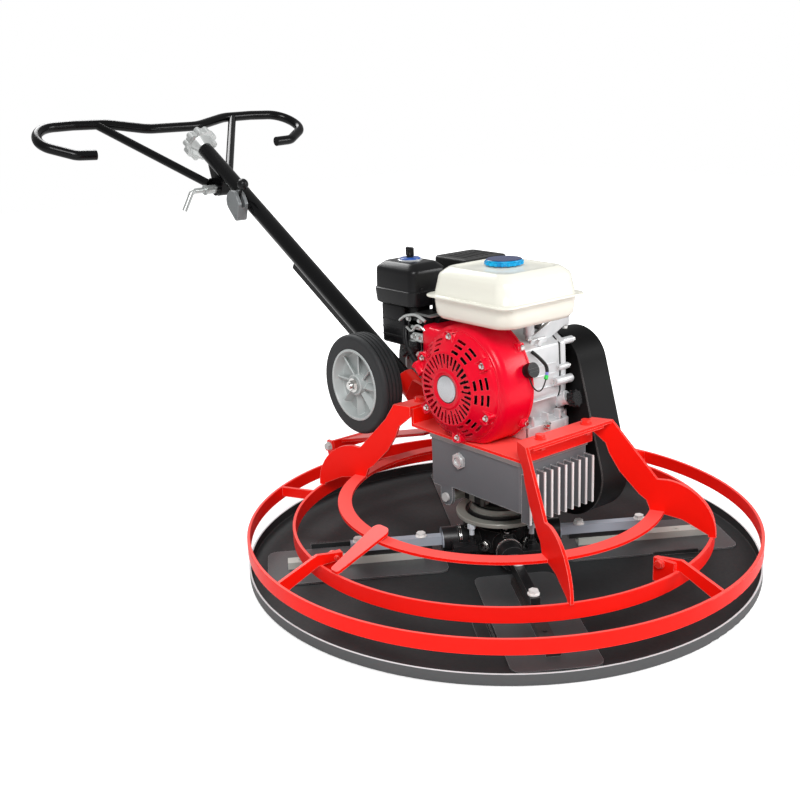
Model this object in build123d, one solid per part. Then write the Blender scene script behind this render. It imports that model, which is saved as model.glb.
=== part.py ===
from build123d import *
from math import cos, hypot, pi, radians, sin, tan
import os

# Walk-behind power trowel, 1000 mm class, millimetres. The origin is on the rotor axis at the underside
# of the float pan. +Y points to the handle, +X to the belt guard, -X to the recoil starter, +Z up.

# --- clearances -------------------------------------------------------------------------------
RUN = 0.05  # radial running fit of a shaft in its bore
GAP = 0.3  # play between faces of parts that move past each other

# --- float pan and blades ---------------------------------------------------------------------
PAN_RADIUS = 500
PAN_SHEET = 3
PAN_RIM_HEIGHT = 22
PAN_BEND = 4
CLIP_LENGTH = 90
CLIP_WIDTH = 26
CLIP_HEIGHT = 14
CLIP_PLAY = 7  # clear of the blade's lower edge while it tilts
BLADE_LENGTH = 350
BLADE_WIDTH = 154
BLADE_THICKNESS = 3
BLADE_CORNER = 20
BLADE_INNER = 115  # radius at which a blade begins
BLADE_BAR_START = 157
BLADE_BAR_END = 425
BLADE_BAR_WIDTH = 25
BLADE_BAR_HEIGHT = 14
FIRST_ARM_ANGLE = 57.8
ARM_COUNT = 4

# --- spider, arms and pitch parts -------------------------------------------------------------
ARM_AXIS_Z = 40
ARM_BAR = 18  # square bar
ARM_END = 300
ARM_PIN_RADIUS = 12
ARM_PIN_START = 30
ARM_BOLT_RADII = (160, 285)
ARM_BOLT_SIZE = 10
COLLAR_RADIUS = 24
COLLAR_LENGTH = 30
HUB_RADIUS = 50
HUB_BOTTOM = 16
HUB_TOP = 66
BOSS_RADIUS = 25
BOSS_END = 89
NECK_RADIUS = 32
NECK_TOP = 118
FINGER_REACH = 48  # sideways distance from the arm axis to the lifting bolt
FINGER_INSET = 66  # radius along the arm at which the lifting bolt stands
FINGER_BAR = 12
THRUST_RADIUS = 87
THRUST_BOTTOM = 88
THRUST_PLATE = 9
THRUST_CAP_RADIUS = 57
THRUST_TOP = 112
YOKE_PIVOT_Y = 58
YOKE_PIVOT_Z = 128
YOKE_TUBE_RADIUS = 11
YOKE_PIN_RADIUS = 6
YOKE_FORK_INNER = 37
YOKE_FORK_PLATE = 11
YOKE_PAD_RADIUS = 8
YOKE_LEVER_LENGTH = 60
YOKE_LEVER_DROP = 34.6  # degrees below level
YOKE_LEVER_PLATE = 12

# --- gearbox ----------------------------------------------------------------------------------
GEARBOX_HALF_WIDTH = 89
GEARBOX_FRONT = -146
GEARBOX_REAR = 102
GEARBOX_BOTTOM = 153
GEARBOX_TOP = 252
GEARBOX_WALL = 8
COVER_THICKNESS = 8
COVER_LIP = 3
BOSS_BELOW = 23  # bearing boss under the gearbox floor
BOSS_BELOW_RADIUS = 34
FIN_COUNT = 10
FIN_DEPTH = 22
FIN_THICKNESS = 4
FIN_BOTTOM = 135
FIN_TOP = 228
LUG_THICKNESS = 7
LUG_RADIUS = 17
OUTPUT_SHAFT_RADIUS = 17.5
WORM_SHAFT_RADIUS = 10
WORM_Y = -52
WORM_Z = 200
WHEEL_TEETH = 20
WHEEL_PITCH_RADIUS = 37
WHEEL_WIDTH = 26
TOOTH_HEIGHT = 3.6  # above and below the pitch line
TOOTH_PLAY = 1.2
BEARING_WIDTH = 14
SIGHT_Y = 17
SIGHT_Z = 214
OUTPUT_BEARING_RADIUS = 28
WORM_BEARING_RADIUS = 20

# --- guard rings and arches -------------------------------------------------------------------
RING_BAR = 6
WELD_FIT = 0.25  # flat ends stop short of the curved bar they are welded to
OUTER_RING_RADIUS = 500
OUTER_RING_BOTTOM = 55
OUTER_RING_TOP = 83
MIDDLE_RING_RADIUS = 411
MIDDLE_RING_BOTTOM = 62
MIDDLE_RING_TOP = 91
INNER_RING_RADIUS = 320
INNER_RING_WIDTH = 27
INNER_RING_TOP = 129
INNER_RING_PLATE = 6
ARCH_HALF_WIDTH = 104
ARCH_INNER_Y = 150
ARCH_OUTER_Y = 187
ARCH_TOP = 296
ARCH_PLATE = 6
FRONT_LEG_TURN = 24  # degrees between a leg's plane and the Y axis
REAR_LEG_TURN = 18
ARCH_BOLT_X = 60
BRACKET_ANGLES = (-85, 5, 175)
BRACKET_PIVOT_RADIUS = 377
SPOKE_ANGLE = 181
BASE_PLATE = 6
BASE_HALF_WIDTH = 92

# --- handle -----------------------------------------------------------------------------------
HANDLE_SLOPE = 30.24  # degrees above level
HANDLE_RADIUS = 19
HANDLE_WALL = 3
HANDLE_START_Y = 205
HANDLE_END_Y = 1072
HANDLE_RISE = 139.9  # height at which the tube axis would cross the rotor axis plane
SOCKET_RADIUS = 25
SOCKET_LENGTH = 97
STRIP_DEPTH = 37
STRIP_THICKNESS = 8
STRIP_END_Y = 676
BAR_RADIUS = 12.5
BAR_SLOPE = 28.9  # degrees above level
BAR_PLANE_DROP = 38.9  # handlebar plane below the tube axis, measured square to it
BAR_PLANE_Y = 1256.5
BAR_SPAN = 378
BAR_STRAIGHT = 202
BAR_GRIP_X = 262
BAR_DIP = 43
BAR_HOOK = 140
CLAMP_Y = 1002
CLAMP_Z = 672
CLAMP_HALF_WIDTH = 14
CLAMP_CHEEK = 8
CLAMP_SCREW_RADIUS = 6
CRANK_RADIUS = 6.5
WHEEL_RADIUS = 105
TYRE_WIDTH = 50
WHEEL_CENTRE_X = 100
WHEEL_Y = 302
RIM_RADIUS = 76
AXLE_RADIUS = 8
KNOB_RADIUS = 42
KNOB_LOBES = 10
SCREW_LENGTH = 160
SCREW_RADIUS = 8
CABLE_OFFSET = 12  # wire below the tube's centre, clear of the axle
THROTTLE_Y = 880
THROTTLE_Z = 640

# --- belt drive -------------------------------------------------------------------------------
GUARD_X = 121
GUARD_DEPTH = 79
GUARD_SHEET = 2
GUARD_LOBES = [(-28, 368, 72.5), (16, 364, 64), (-68, 163.5, 91)]  # Y, Z and radius of each rounded corner
BELT_X = 160
CLUTCH_PITCH_RADIUS = 36
DRIVEN_PITCH_RADIUS = 49.5
BELT_WIDTH = 11
BELT_INSIDE = 5
BELT_OUTSIDE = 3
PULLEY_LIP = 4

# --- engine -----------------------------------------------------------------------------------
ENGINE_FOOT_Z = GEARBOX_TOP + BASE_PLATE
CRANK_HEIGHT = 106
CRANK_Y = 12
CRANK_Z = ENGINE_FOOT_Z + CRANK_HEIGHT
CRANK_RADIUS_PTO = 10
CRANKCASE_RADIUS = 91
CRANKCASE_X = (-12, 78)
COVER_X = 110
CYLINDER_TILT = 25
SHROUD_RADIUS = 118
SHROUD_X = (-100, -14)
SHROUD_SHEET = 1.6
RECOIL_FRONT = -122
RECOIL_RADIUS = 104
RECOIL_FACE_RADIUS = 74
SLOT_COUNT = 32
TANK_X = (-109, 105)
TANK_Y = (-133, 92)
TANK_BOTTOM = 485
TANK_SEAM = 530
TANK_TOP = 586
TANK_LIP = 10
TANK_WALL = 2
CAP_RADIUS = 36
CAP_HEIGHT = 10
CLEANER_X = (-74, 20)
CLEANER_Y = (160, 286)
CLEANER_BOTTOM = 490
CLEANER_TOP = 572
MUFFLER_X = (46, 158)
MUFFLER_Y = (132, 240)
MUFFLER_BOTTOM = 488
MUFFLER_TOP = 570


# --- shared helpers ---------------------------------------------------------------------------
def block(x0, x1, y0, y1, z0, z1):
    """Box given by its faces."""
    size = Box(x1 - x0, y1 - y0, z1 - z0)
    return Pos((x0 + x1) / 2, (y0 + y1) / 2, (z0 + z1) / 2) * size


def rod_z(radius, z0, z1, x=0, y=0):
    return Pos(x, y, (z0 + z1) / 2) * Cylinder(radius, z1 - z0)


def rod_x(radius, x0, x1, y=0, z=0):
    return Pos((x0 + x1) / 2, y, z) * Rot(0, 90, 0) * Cylinder(radius, x1 - x0)


def rod_y(radius, y0, y1, x=0, z=0):
    return Pos(x, (y0 + y1) / 2, z) * Rot(90, 0, 0) * Cylinder(radius, y1 - y0)


def prism_x(sketch, x0, x1):
    """A sketch drawn in Y (right) and Z (up), raised along X."""
    return extrude(Plane.YZ.offset(x0) * sketch, x1 - x0)


def prism_z(sketch, z0, z1):
    return extrude(Plane.XY.offset(z0) * sketch, z1 - z0)


def polygon(points):
    return make_face(Polyline(*points, close=True))


def between(start, end, radius):
    """Straight round bar from one point to another."""
    a = Vector(*start)
    b = Vector(*end)
    plane = Plane(origin=a, z_dir=b - a)
    return plane * Pos(0, 0, (b - a).length / 2) * Cylinder(radius, (b - a).length)


def ring(radius, inner, z0, z1):
    return rod_z(radius, z0, z1) - rod_z(inner, z0 - 1, z1 + 1)


def turned(angle, shape):
    return Rot(0, 0, angle) * shape


def hex_bolt(size, grip, head=0.65, flange=1.1):
    """Flanged hexagon bolt along Z with its seat at z = 0 and its shank below."""
    hexagon = extrude(RegularPolygon(size * 0.92, 6), size * head + 2)
    washer = rod_z(size * flange, 0, 2)
    shank = rod_z(size / 2, -grip, 0)
    return hexagon + washer + shank


def handle_z(y):
    """Height of the handle tube's axis at a distance behind the rotor."""
    return HANDLE_RISE + tan(radians(HANDLE_SLOPE)) * y


def handle_plane(y):
    """Plane square to the handle tube, Z along the tube away from the machine, Y up from it."""
    along = (0, cos(radians(HANDLE_SLOPE)), sin(radians(HANDLE_SLOPE)))
    return Plane(origin=(0, y, handle_z(y)), x_dir=(-1, 0, 0), z_dir=along)


def handle_length(y0, y1):
    return (y1 - y0) / cos(radians(HANDLE_SLOPE))


def arm_angle(index):
    return FIRST_ARM_ANGLE + 90 * index


# --- pan and blades ---------------------------------------------------------------------------
def float_pan():
    edge = PAN_RADIUS - PAN_BEND
    inner = PAN_RADIUS - PAN_SHEET
    small = PAN_BEND - PAN_SHEET
    profile = Polyline((0, PAN_SHEET), (0, 0), (edge, 0))
    profile += RadiusArc((edge, 0), (PAN_RADIUS, PAN_BEND), -PAN_BEND)
    rim = [(PAN_RADIUS, PAN_BEND), (PAN_RADIUS, PAN_RIM_HEIGHT), (inner, PAN_RIM_HEIGHT), (inner, PAN_BEND)]
    profile += Polyline(*rim)
    profile += RadiusArc((inner, PAN_BEND), (edge, PAN_SHEET), small)
    profile += Line((edge, PAN_SHEET), (0, PAN_SHEET))
    pan = revolve(Plane.XZ * make_face(profile), Axis.Z)
    for index in range(ARM_COUNT):
        pan += turned(arm_angle(index), pan_clip())
    return pan


def pan_clip():
    """Folded bracket beside a blade that holds the pan in place."""
    side = -BLADE_WIDTH / 2 - CLIP_PLAY
    middle = BLADE_INNER + BLADE_LENGTH * 0.62
    start = middle - CLIP_LENGTH / 2
    end = middle + CLIP_LENGTH / 2
    foot = block(start, end, side - CLIP_WIDTH, side, PAN_SHEET - 0.2, PAN_SHEET + 3)
    return foot + block(start, end, side - 3, side, PAN_SHEET, CLIP_HEIGHT)


def blade_floor():
    return PAN_SHEET + GAP


def trowel_blade(index):
    """Steel blade with the bar that stiffens it and the two bolts that hold it to its arm."""
    low = blade_floor()
    top = low + BLADE_THICKNESS
    middle = BLADE_INNER + BLADE_LENGTH / 2
    plate = prism_z(Pos(middle, 0) * RectangleRounded(BLADE_LENGTH, BLADE_WIDTH, BLADE_CORNER), low, top)
    half = BLADE_BAR_WIDTH / 2
    bar = block(BLADE_BAR_START, BLADE_BAR_END, -half, half, top, top + BLADE_BAR_HEIGHT)
    for x in (BLADE_BAR_END - 25, BLADE_BAR_END - 60):
        bar += rod_z(4, top + BLADE_BAR_HEIGHT, top + BLADE_BAR_HEIGHT + 2.5, x)
    blade = plate + bar
    bolts = []
    for x in ARM_BOLT_RADII:
        blade -= rod_z(ARM_BOLT_SIZE / 2, top + 3, top + BLADE_BAR_HEIGHT + 1, x)
        grip = ARM_AXIS_Z + ARM_BAR / 2 - top - 3
        bolts.append(Pos(x, 0, ARM_AXIS_Z + ARM_BAR / 2) * hex_bolt(ARM_BOLT_SIZE, grip))
    return [turned(arm_angle(index), solid) for solid in [blade] + bolts]


def trowel_arm(index):
    """Pin, collar with lifting finger, square bar and its packing rail."""
    centre = ARM_AXIS_Z
    half = ARM_BAR / 2
    start = BOSS_END + GAP
    arm = rod_x(ARM_PIN_RADIUS, ARM_PIN_START, start + 2, 0, centre)
    arm += rod_x(COLLAR_RADIUS, start, start + COLLAR_LENGTH, 0, centre)
    arm += block(start + COLLAR_LENGTH - 1, ARM_END, -half, half, centre - half, centre + half)
    rail_bottom = blade_floor() + BLADE_THICKNESS + BLADE_BAR_HEIGHT
    arm += block(BLADE_BAR_START - 18, ARM_END - 6, -7, 7, rail_bottom, centre - half + 0.5)
    reach = block(FINGER_INSET - 10, start + 14, FINGER_REACH - 11, FINGER_REACH + 11, centre - 6, centre + 6)
    link = block(start + 1, start + 14, 0, FINGER_REACH + 11, centre - 6, centre + 6)
    arm += reach + link
    tip = THRUST_BOTTOM - GAP
    arm += rod_z(5, centre - 16, tip - 3, FINGER_INSET, FINGER_REACH)
    arm += Pos(FINGER_INSET, FINGER_REACH, tip - 9) * extrude(RegularPolygon(8.5, 6), 9)
    arm += Pos(FINGER_INSET, FINGER_REACH, centre + 6) * extrude(RegularPolygon(9, 6), 8)
    for x in ARM_BOLT_RADII:
        arm -= rod_z(ARM_BOLT_SIZE / 2, rail_bottom - 1, centre + half + 1, x)
    return turned(arm_angle(index), arm)


def spider_hub():
    hub = rod_z(HUB_RADIUS, HUB_BOTTOM, HUB_TOP)
    hub = chamfer(hub.edges().filter_by(GeomType.CIRCLE).group_by(Axis.Z)[0], 5)
    for index in range(ARM_COUNT):
        boss = rod_x(BOSS_RADIUS, 0, BOSS_END, 0, ARM_AXIS_Z)
        pad = block(HUB_RADIUS - 14, BOSS_END - 16, -9, 9, ARM_AXIS_Z, ARM_AXIS_Z + BOSS_RADIUS + 4)
        hub += turned(arm_angle(index), boss + pad)
    hub += rod_z(NECK_RADIUS, HUB_TOP - 1, NECK_TOP)
    for index in range(ARM_COUNT):
        bore = rod_x(ARM_PIN_RADIUS + RUN, ARM_PIN_START - 1, BOSS_END + 1, 0, ARM_AXIS_Z)
        hub -= turned(arm_angle(index), bore)
    for index in range(ARM_COUNT):
        plug = rod_x(9, HUB_RADIUS - 6, HUB_RADIUS + 7, 0, ARM_AXIS_Z - 4)
        hub += turned(arm_angle(index) + 45, plug)
    return hub - rod_z(OUTPUT_SHAFT_RADIUS, HUB_BOTTOM + 6, NECK_TOP + 1)


# --- pitch control ----------------------------------------------------------------------------
def thrust_bearing():
    """Round plate that slides on the hub's neck and presses on the four lifting bolts."""
    plate = rod_z(THRUST_RADIUS, THRUST_BOTTOM, THRUST_BOTTOM + THRUST_PLATE)
    plate = fillet(plate.edges().filter_by(GeomType.CIRCLE), 2)
    plate += rod_z(THRUST_CAP_RADIUS + 7, THRUST_BOTTOM, THRUST_BOTTOM + THRUST_PLATE + 5)
    plate -= ring(THRUST_CAP_RADIUS + 11, THRUST_CAP_RADIUS + 7, THRUST_BOTTOM + THRUST_PLATE - 2, THRUST_TOP)
    plate += rod_z(THRUST_CAP_RADIUS, THRUST_BOTTOM, THRUST_TOP)
    return plate - rod_z(NECK_RADIUS + RUN, 0, THRUST_TOP + 1)


def pitch_yoke():
    tube_length = GEARBOX_HALF_WIDTH - LUG_THICKNESS - 2 * GAP
    yoke = rod_x(YOKE_TUBE_RADIUS, -tube_length, tube_length, YOKE_PIVOT_Y, YOKE_PIVOT_Z)
    pad_z = THRUST_TOP + GAP + YOKE_PAD_RADIUS
    outer = YOKE_FORK_INNER + YOKE_FORK_PLATE
    side = make_hull(
        (Pos(YOKE_PIVOT_Y, YOKE_PIVOT_Z) * Circle(YOKE_TUBE_RADIUS - 1)).edges()
        + (Pos(0, pad_z) * Circle(YOKE_PAD_RADIUS)).edges()
    )
    yoke += prism_x(side, YOKE_FORK_INNER, outer)
    yoke += prism_x(side, -outer, -YOKE_FORK_INNER)
    end_y, end_z = yoke_lever_end()
    lever = make_hull(
        (Pos(YOKE_PIVOT_Y, YOKE_PIVOT_Z) * Circle(YOKE_TUBE_RADIUS - 1)).edges()
        + (Pos(end_y, end_z) * Circle(7)).edges()
    )
    half = YOKE_LEVER_PLATE / 2
    yoke += prism_x(lever, -half, half)
    yoke -= rod_x(YOKE_PIN_RADIUS + RUN, -100, 100, YOKE_PIVOT_Y, YOKE_PIVOT_Z)
    return yoke - block(-2.5, 2.5, end_y - 5, end_y + 12, end_z - 12, end_z + 14)


def yoke_lever_end():
    drop = radians(YOKE_LEVER_DROP)
    return YOKE_PIVOT_Y + YOKE_LEVER_LENGTH * cos(drop), YOKE_PIVOT_Z - YOKE_LEVER_LENGTH * sin(drop)


def pitch_cable():
    """Nut on the handwheel's screw and the wire from it down to the yoke lever."""
    end_y, end_z = yoke_lever_end()
    nut_plane = handle_plane(HANDLE_END_Y) * Pos(0, 0, -SCREW_LENGTH - 4)
    nut = nut_plane * extrude(Circle(HANDLE_RADIUS - HANDLE_WALL - 0.1) - Circle(SCREW_RADIUS + RUN), 24)
    top = (nut_plane * Pos(0, -CABLE_OFFSET, 0)).position
    mouth = (handle_plane(HANDLE_START_Y - 12) * Pos(0, -CABLE_OFFSET, 0)).position
    path = FilletPolyline(top, mouth, (0, end_y + 4, end_z + 6), radius=60)
    return nut + sweep(Plane(path @ 0, z_dir=path % 0) * Circle(1.8), path)


def pitch_handwheel():
    """Lobed wheel on a stepped hub, with the screw that reaches into the tube."""
    wheel = extrude(Circle(KNOB_RADIUS - 4), 22)
    for index in range(KNOB_LOBES):
        angle = radians(index * 360 / KNOB_LOBES)
        reach = KNOB_RADIUS - 7
        wheel += Pos(reach * cos(angle), reach * sin(angle), 0) * extrude(Circle(9), 22)
    wheel = Pos(0, 0, 20) * wheel
    wheel += loft([Circle(HANDLE_RADIUS + 2), Pos(0, 0, 22) * Circle(KNOB_RADIUS - 9)])
    wheel += Pos(0, 0, 41) * extrude(Circle(20), 8)
    wheel -= Pos(0, 0, 44) * extrude(Circle(13), 8)
    screw = Pos(0, 0, -SCREW_LENGTH) * extrude(Circle(SCREW_RADIUS), SCREW_LENGTH + 5)
    collar = Pos(0, 0, -16) * extrude(Circle(HANDLE_RADIUS - HANDLE_WALL - RUN), 17)
    return handle_plane(HANDLE_END_Y + GAP) * (wheel + screw + collar)


# --- gearbox ----------------------------------------------------------------------------------
def gearbox_housing():
    side = GEARBOX_HALF_WIDTH
    top = GEARBOX_TOP - COVER_THICKNESS
    wall = GEARBOX_WALL
    body = block(-side, side, GEARBOX_FRONT, GEARBOX_REAR, GEARBOX_BOTTOM, top)
    body = fillet(body.edges().filter_by(Axis.Z), 6)
    body += rod_z(BOSS_BELOW_RADIUS, GEARBOX_BOTTOM - BOSS_BELOW, GEARBOX_BOTTOM + 1)
    front = GEARBOX_FRONT + wall
    body -= block(-side + wall, side - wall, front, GEARBOX_REAR - wall, GEARBOX_BOTTOM + wall, top + 1)
    for sign in (-1, 1):
        pocket = sorted((sign * (side - wall - 10), sign * (side - 1)))
        body += rod_x(WORM_BEARING_RADIUS + 8, pocket[0], pocket[1], WORM_Y, WORM_Z)
        inner = sorted((sign * (side - wall - 11), sign * (side - wall - 10 + BEARING_WIDTH)))
        body -= rod_x(WORM_BEARING_RADIUS, inner[0], inner[1], WORM_Y, WORM_Z)
    body -= rod_x(WORM_SHAFT_RADIUS + 1, 0, side + 1, WORM_Y, WORM_Z)
    floor = GEARBOX_BOTTOM - BOSS_BELOW
    body -= rod_z(OUTPUT_BEARING_RADIUS, floor + 6, GEARBOX_BOTTOM + wall + 1)
    body -= rod_z(OUTPUT_SHAFT_RADIUS + 1, floor - 1, floor + 7)
    half = FIN_THICKNESS / 2
    tip = GEARBOX_FRONT - FIN_DEPTH
    for index in range(FIN_COUNT):
        x = -side + 6 + index * (2 * side - 12) / (FIN_COUNT - 1)
        body += block(x - half, x + half, tip, GEARBOX_FRONT + 1, FIN_BOTTOM, FIN_TOP)
    for sign in (-1, 1):
        body += gearbox_lug(sign)
    return body - rod_x(14, -side - 1, -side + wall + 1, SIGHT_Y, SIGHT_Z)


def gearbox_lug(sign):
    """Ear under each side wall that carries the yoke's pin."""
    inner = GEARBOX_HALF_WIDTH - LUG_THICKNESS
    faces = sorted((sign * inner, sign * GEARBOX_HALF_WIDTH))
    front = YOKE_PIVOT_Y - LUG_RADIUS
    top = GEARBOX_BOTTOM + 1
    ear = prism_x(Pos(YOKE_PIVOT_Y, YOKE_PIVOT_Z) * Circle(LUG_RADIUS), faces[0], faces[1])
    ear += block(faces[0], faces[1], front, YOKE_PIVOT_Y + LUG_RADIUS, YOKE_PIVOT_Z, top)
    ear += block(faces[0], faces[1], front, GEARBOX_REAR - 6, GEARBOX_BOTTOM - 6, top)
    return ear - rod_x(YOKE_PIN_RADIUS, faces[0] - 1, faces[1] + 1, YOKE_PIVOT_Y, YOKE_PIVOT_Z)


def gearbox_cover():
    side = GEARBOX_HALF_WIDTH + COVER_LIP
    low = GEARBOX_TOP - COVER_THICKNESS
    cover = block(-side, side, GEARBOX_FRONT - COVER_LIP, GEARBOX_REAR + COVER_LIP, low, GEARBOX_TOP)
    cover = fillet(cover.edges().filter_by(Axis.Z), 8)
    cover += rod_z(OUTPUT_BEARING_RADIUS + 6, low - BEARING_WIDTH - 2, low + 1)
    return cover - rod_z(OUTPUT_BEARING_RADIUS, low - BEARING_WIDTH - 3, low - 1)


def bearing(outer, bore, width):
    """Two races with a ball row between them."""
    step = (outer - bore) / 3
    races = extrude(Circle(outer) - Circle(outer - step), width)
    races += extrude(Circle(bore + step) - Circle(bore), width)
    shield = Pos(0, 0, 1.5) * extrude(Circle(outer - step + 0.1) - Circle(bore + step - 0.1), width - 3)
    return races + shield


def gearbox_bearings():
    low = GEARBOX_BOTTOM - BOSS_BELOW + 6
    bottom = Pos(0, 0, low) * bearing(OUTPUT_BEARING_RADIUS, OUTPUT_SHAFT_RADIUS + RUN, BEARING_WIDTH)
    high = GEARBOX_TOP - COVER_THICKNESS - 1 - BEARING_WIDTH
    top = Pos(0, 0, high) * bearing(OUTPUT_BEARING_RADIUS, OUTPUT_SHAFT_RADIUS + RUN, BEARING_WIDTH)
    start = GEARBOX_HALF_WIDTH - GEARBOX_WALL - 10
    worm = bearing(WORM_BEARING_RADIUS, WORM_SHAFT_RADIUS + RUN, BEARING_WIDTH)
    right = Plane(origin=(start, WORM_Y, WORM_Z), z_dir=(1, 0, 0)) * worm
    left = Plane(origin=(-start, WORM_Y, WORM_Z), z_dir=(-1, 0, 0)) * worm
    return [bottom, top, right, left]


def output_shaft():
    low = HUB_BOTTOM + 6
    high = GEARBOX_TOP - COVER_THICKNESS - 2
    return rod_z(OUTPUT_SHAFT_RADIUS, low, high)


def worm_wheel():
    tip = WHEEL_PITCH_RADIUS
    root = WHEEL_PITCH_RADIUS - TOOTH_HEIGHT - GAP
    pitch = 2 * pi * WHEEL_PITCH_RADIUS / WHEEL_TEETH
    thick = pitch / 2 - TOOTH_PLAY / 2
    tooth = polygon(
        [(root - 2, -thick * 0.75), (root, -thick * 0.72), (tip, -thick * 0.26)]
        + [(tip, thick * 0.26), (root, thick * 0.72), (root - 2, thick * 0.75)]
    )
    outline = Circle(root)
    for index in range(WHEEL_TEETH):
        outline += Rot(0, 0, index * 360 / WHEEL_TEETH) * tooth
    low = WORM_Z - WHEEL_WIDTH / 2
    wheel = prism_z(outline, low, low + WHEEL_WIDTH)
    wheel += rod_z(OUTPUT_SHAFT_RADIUS + 9, low - 12, low + WHEEL_WIDTH + 6)
    return wheel - rod_z(OUTPUT_SHAFT_RADIUS, low - 20, low + WHEEL_WIDTH + 20)


def worm_shaft():
    """Worm with its journals and the end that carries the driven pulley."""
    pitch = 2 * pi * WHEEL_PITCH_RADIUS / WHEEL_TEETH
    centre_distance = abs(WORM_Y)
    worm_pitch_radius = centre_distance - WHEEL_PITCH_RADIUS
    root = worm_pitch_radius - TOOTH_HEIGHT - GAP
    tip = worm_pitch_radius - 2 * GAP
    thick = pitch / 2 - TOOTH_PLAY / 2
    end = GEARBOX_HALF_WIDTH - GEARBOX_WALL - 10
    shaft = rod_x(WORM_SHAFT_RADIUS, -end - BEARING_WIDTH, GUARD_X + GUARD_DEPTH - 18, WORM_Y, WORM_Z)
    shaft += rod_x(root, -end + GAP, end - GAP, WORM_Y, WORM_Z)
    foot = thick * 0.72
    crest = thick * 0.26
    thread = polygon([(root - 1, -foot), (tip, -crest), (tip, crest), (root - 1, foot)])
    ridge = revolve(Plane.XZ * thread, Axis.Z)
    for index in range(-3, 4):
        x = (index + 0.5) * pitch
        shaft += Plane(origin=(x, WORM_Y, WORM_Z), z_dir=(1, 0, 0)) * ridge
    return shaft


def oil_plugs():
    """Hollow filler plug in the gearbox wall and the engine's dipstick plug."""
    side = -GEARBOX_HALF_WIDTH
    y = SIGHT_Y
    z = SIGHT_Z
    plug = rod_x(14, side, side + GEARBOX_WALL, y, z)
    plug += Plane(origin=(side, y, z), z_dir=(-1, 0, 0)) * extrude(RegularPolygon(17, 6), 5)
    plug += rod_x(12, side - 8, side, y, z)
    plug -= rod_x(8, side - 9, side - 5, y, z)
    stick = between((92, -66, 312), (97, -99, 322), 9)
    grip = between((97, -99, 322), (99, -113, 326), 14)
    for angle in range(0, 360, 45):
        direction = Plane(origin=(98, -106, 324), z_dir=(2, -14, 4))
        spot = direction * Pos(14 * cos(radians(angle)), 14 * sin(radians(angle)), -7)
        grip += spot * extrude(Circle(3), 14)
    return [plug, stick + grip]


# --- frame ------------------------------------------------------------------------------------
def bar_ring(radius, z0, z1):
    shape = ring(radius, radius - RING_BAR, z0, z1)
    return fillet(shape.edges().filter_by(GeomType.CIRCLE), 1.2)


def outer_ring():
    return bar_ring(OUTER_RING_RADIUS, OUTER_RING_BOTTOM, OUTER_RING_TOP)


def middle_ring():
    return bar_ring(MIDDLE_RING_RADIUS, MIDDLE_RING_BOTTOM, MIDDLE_RING_TOP)


def inner_ring():
    inner = INNER_RING_RADIUS - INNER_RING_WIDTH
    shape = ring(INNER_RING_RADIUS, inner, INNER_RING_TOP - INNER_RING_PLATE, INNER_RING_TOP)
    for sign_y in (-1, 1):
        for sign_x in (-1, 1):
            shape -= arch_leg(sign_x, sign_y)
    return shape


def leg_plane(sign_x, sign_y):
    """Upright plane of a leg: X runs outward along the leg, Y runs up."""
    turn = radians(FRONT_LEG_TURN if sign_y < 0 else REAR_LEG_TURN)
    out = Vector(sign_x * sin(turn), sign_y * cos(turn), 0)
    middle = (ARCH_INNER_Y + ARCH_OUTER_Y) / 2
    return Plane(origin=(sign_x * ARCH_HALF_WIDTH, sign_y * middle, 0), x_dir=out, z_dir=out.cross(Vector(0, 0, 1)))


def arch_leg(sign_x, sign_y):
    """Flat upright leg: straight arm, then a wide foot with a rounded back, ending on the middle ring."""
    turn = radians(FRONT_LEG_TURN if sign_y < 0 else REAR_LEG_TURN)
    half = (ARCH_OUTER_Y - ARCH_INNER_Y) / 2 / cos(turn)
    top = ARCH_TOP
    foot = MIDDLE_RING_TOP
    ring_top = INNER_RING_TOP
    bend = (half + 1, top - 1) if sign_y < 0 else (41, 262)  # the rear edge is cut back for the tyre
    front = Polyline((-half, top), (half, top), bend, (108, 191), (128, 192))
    back = ThreePointArc((128, 192), (187, 166), (219, foot + 6))
    under = [(219, foot + 6), (219, foot), (205, foot), (205, foot + 4), (157, ring_top - 11), (126, ring_top - 6)]
    under += [(98, ring_top - 5), (89, 147), (75, 157), (37, 197), (16, 231), (9, 250), (-half, top - 22), (-half, top)]
    profile = make_face(front + back + Polyline(*under))
    return extrude(leg_plane(sign_x, sign_y) * profile, ARCH_PLATE / 2, both=True)


def arch(sign_y):
    """Flat top with an upright leg at each end."""
    turn = radians(FRONT_LEG_TURN if sign_y < 0 else REAR_LEG_TURN)
    skew = (ARCH_OUTER_Y - ARCH_INNER_Y) / 2 * tan(turn)
    corners = [(ARCH_HALF_WIDTH - skew, sign_y * ARCH_INNER_Y), (ARCH_HALF_WIDTH + skew, sign_y * ARCH_OUTER_Y)]
    corners += [(-x, y) for x, y in reversed(corners)]
    shape = prism_z(polygon(corners), ARCH_TOP - ARCH_PLATE, ARCH_TOP)
    for sign_x in (-1, 1):
        shape += arch_leg(sign_x, sign_y)
    for x, y in arch_bolt_places():
        shape -= rod_z(5, ARCH_TOP - 20, ARCH_TOP + 1, x, y)
    return shape


def arch_bolt_places():
    middle = (ARCH_INNER_Y + ARCH_OUTER_Y) / 2
    return [(x, y) for x in (-ARCH_BOLT_X, ARCH_BOLT_X) for y in (-middle, middle)]


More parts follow.
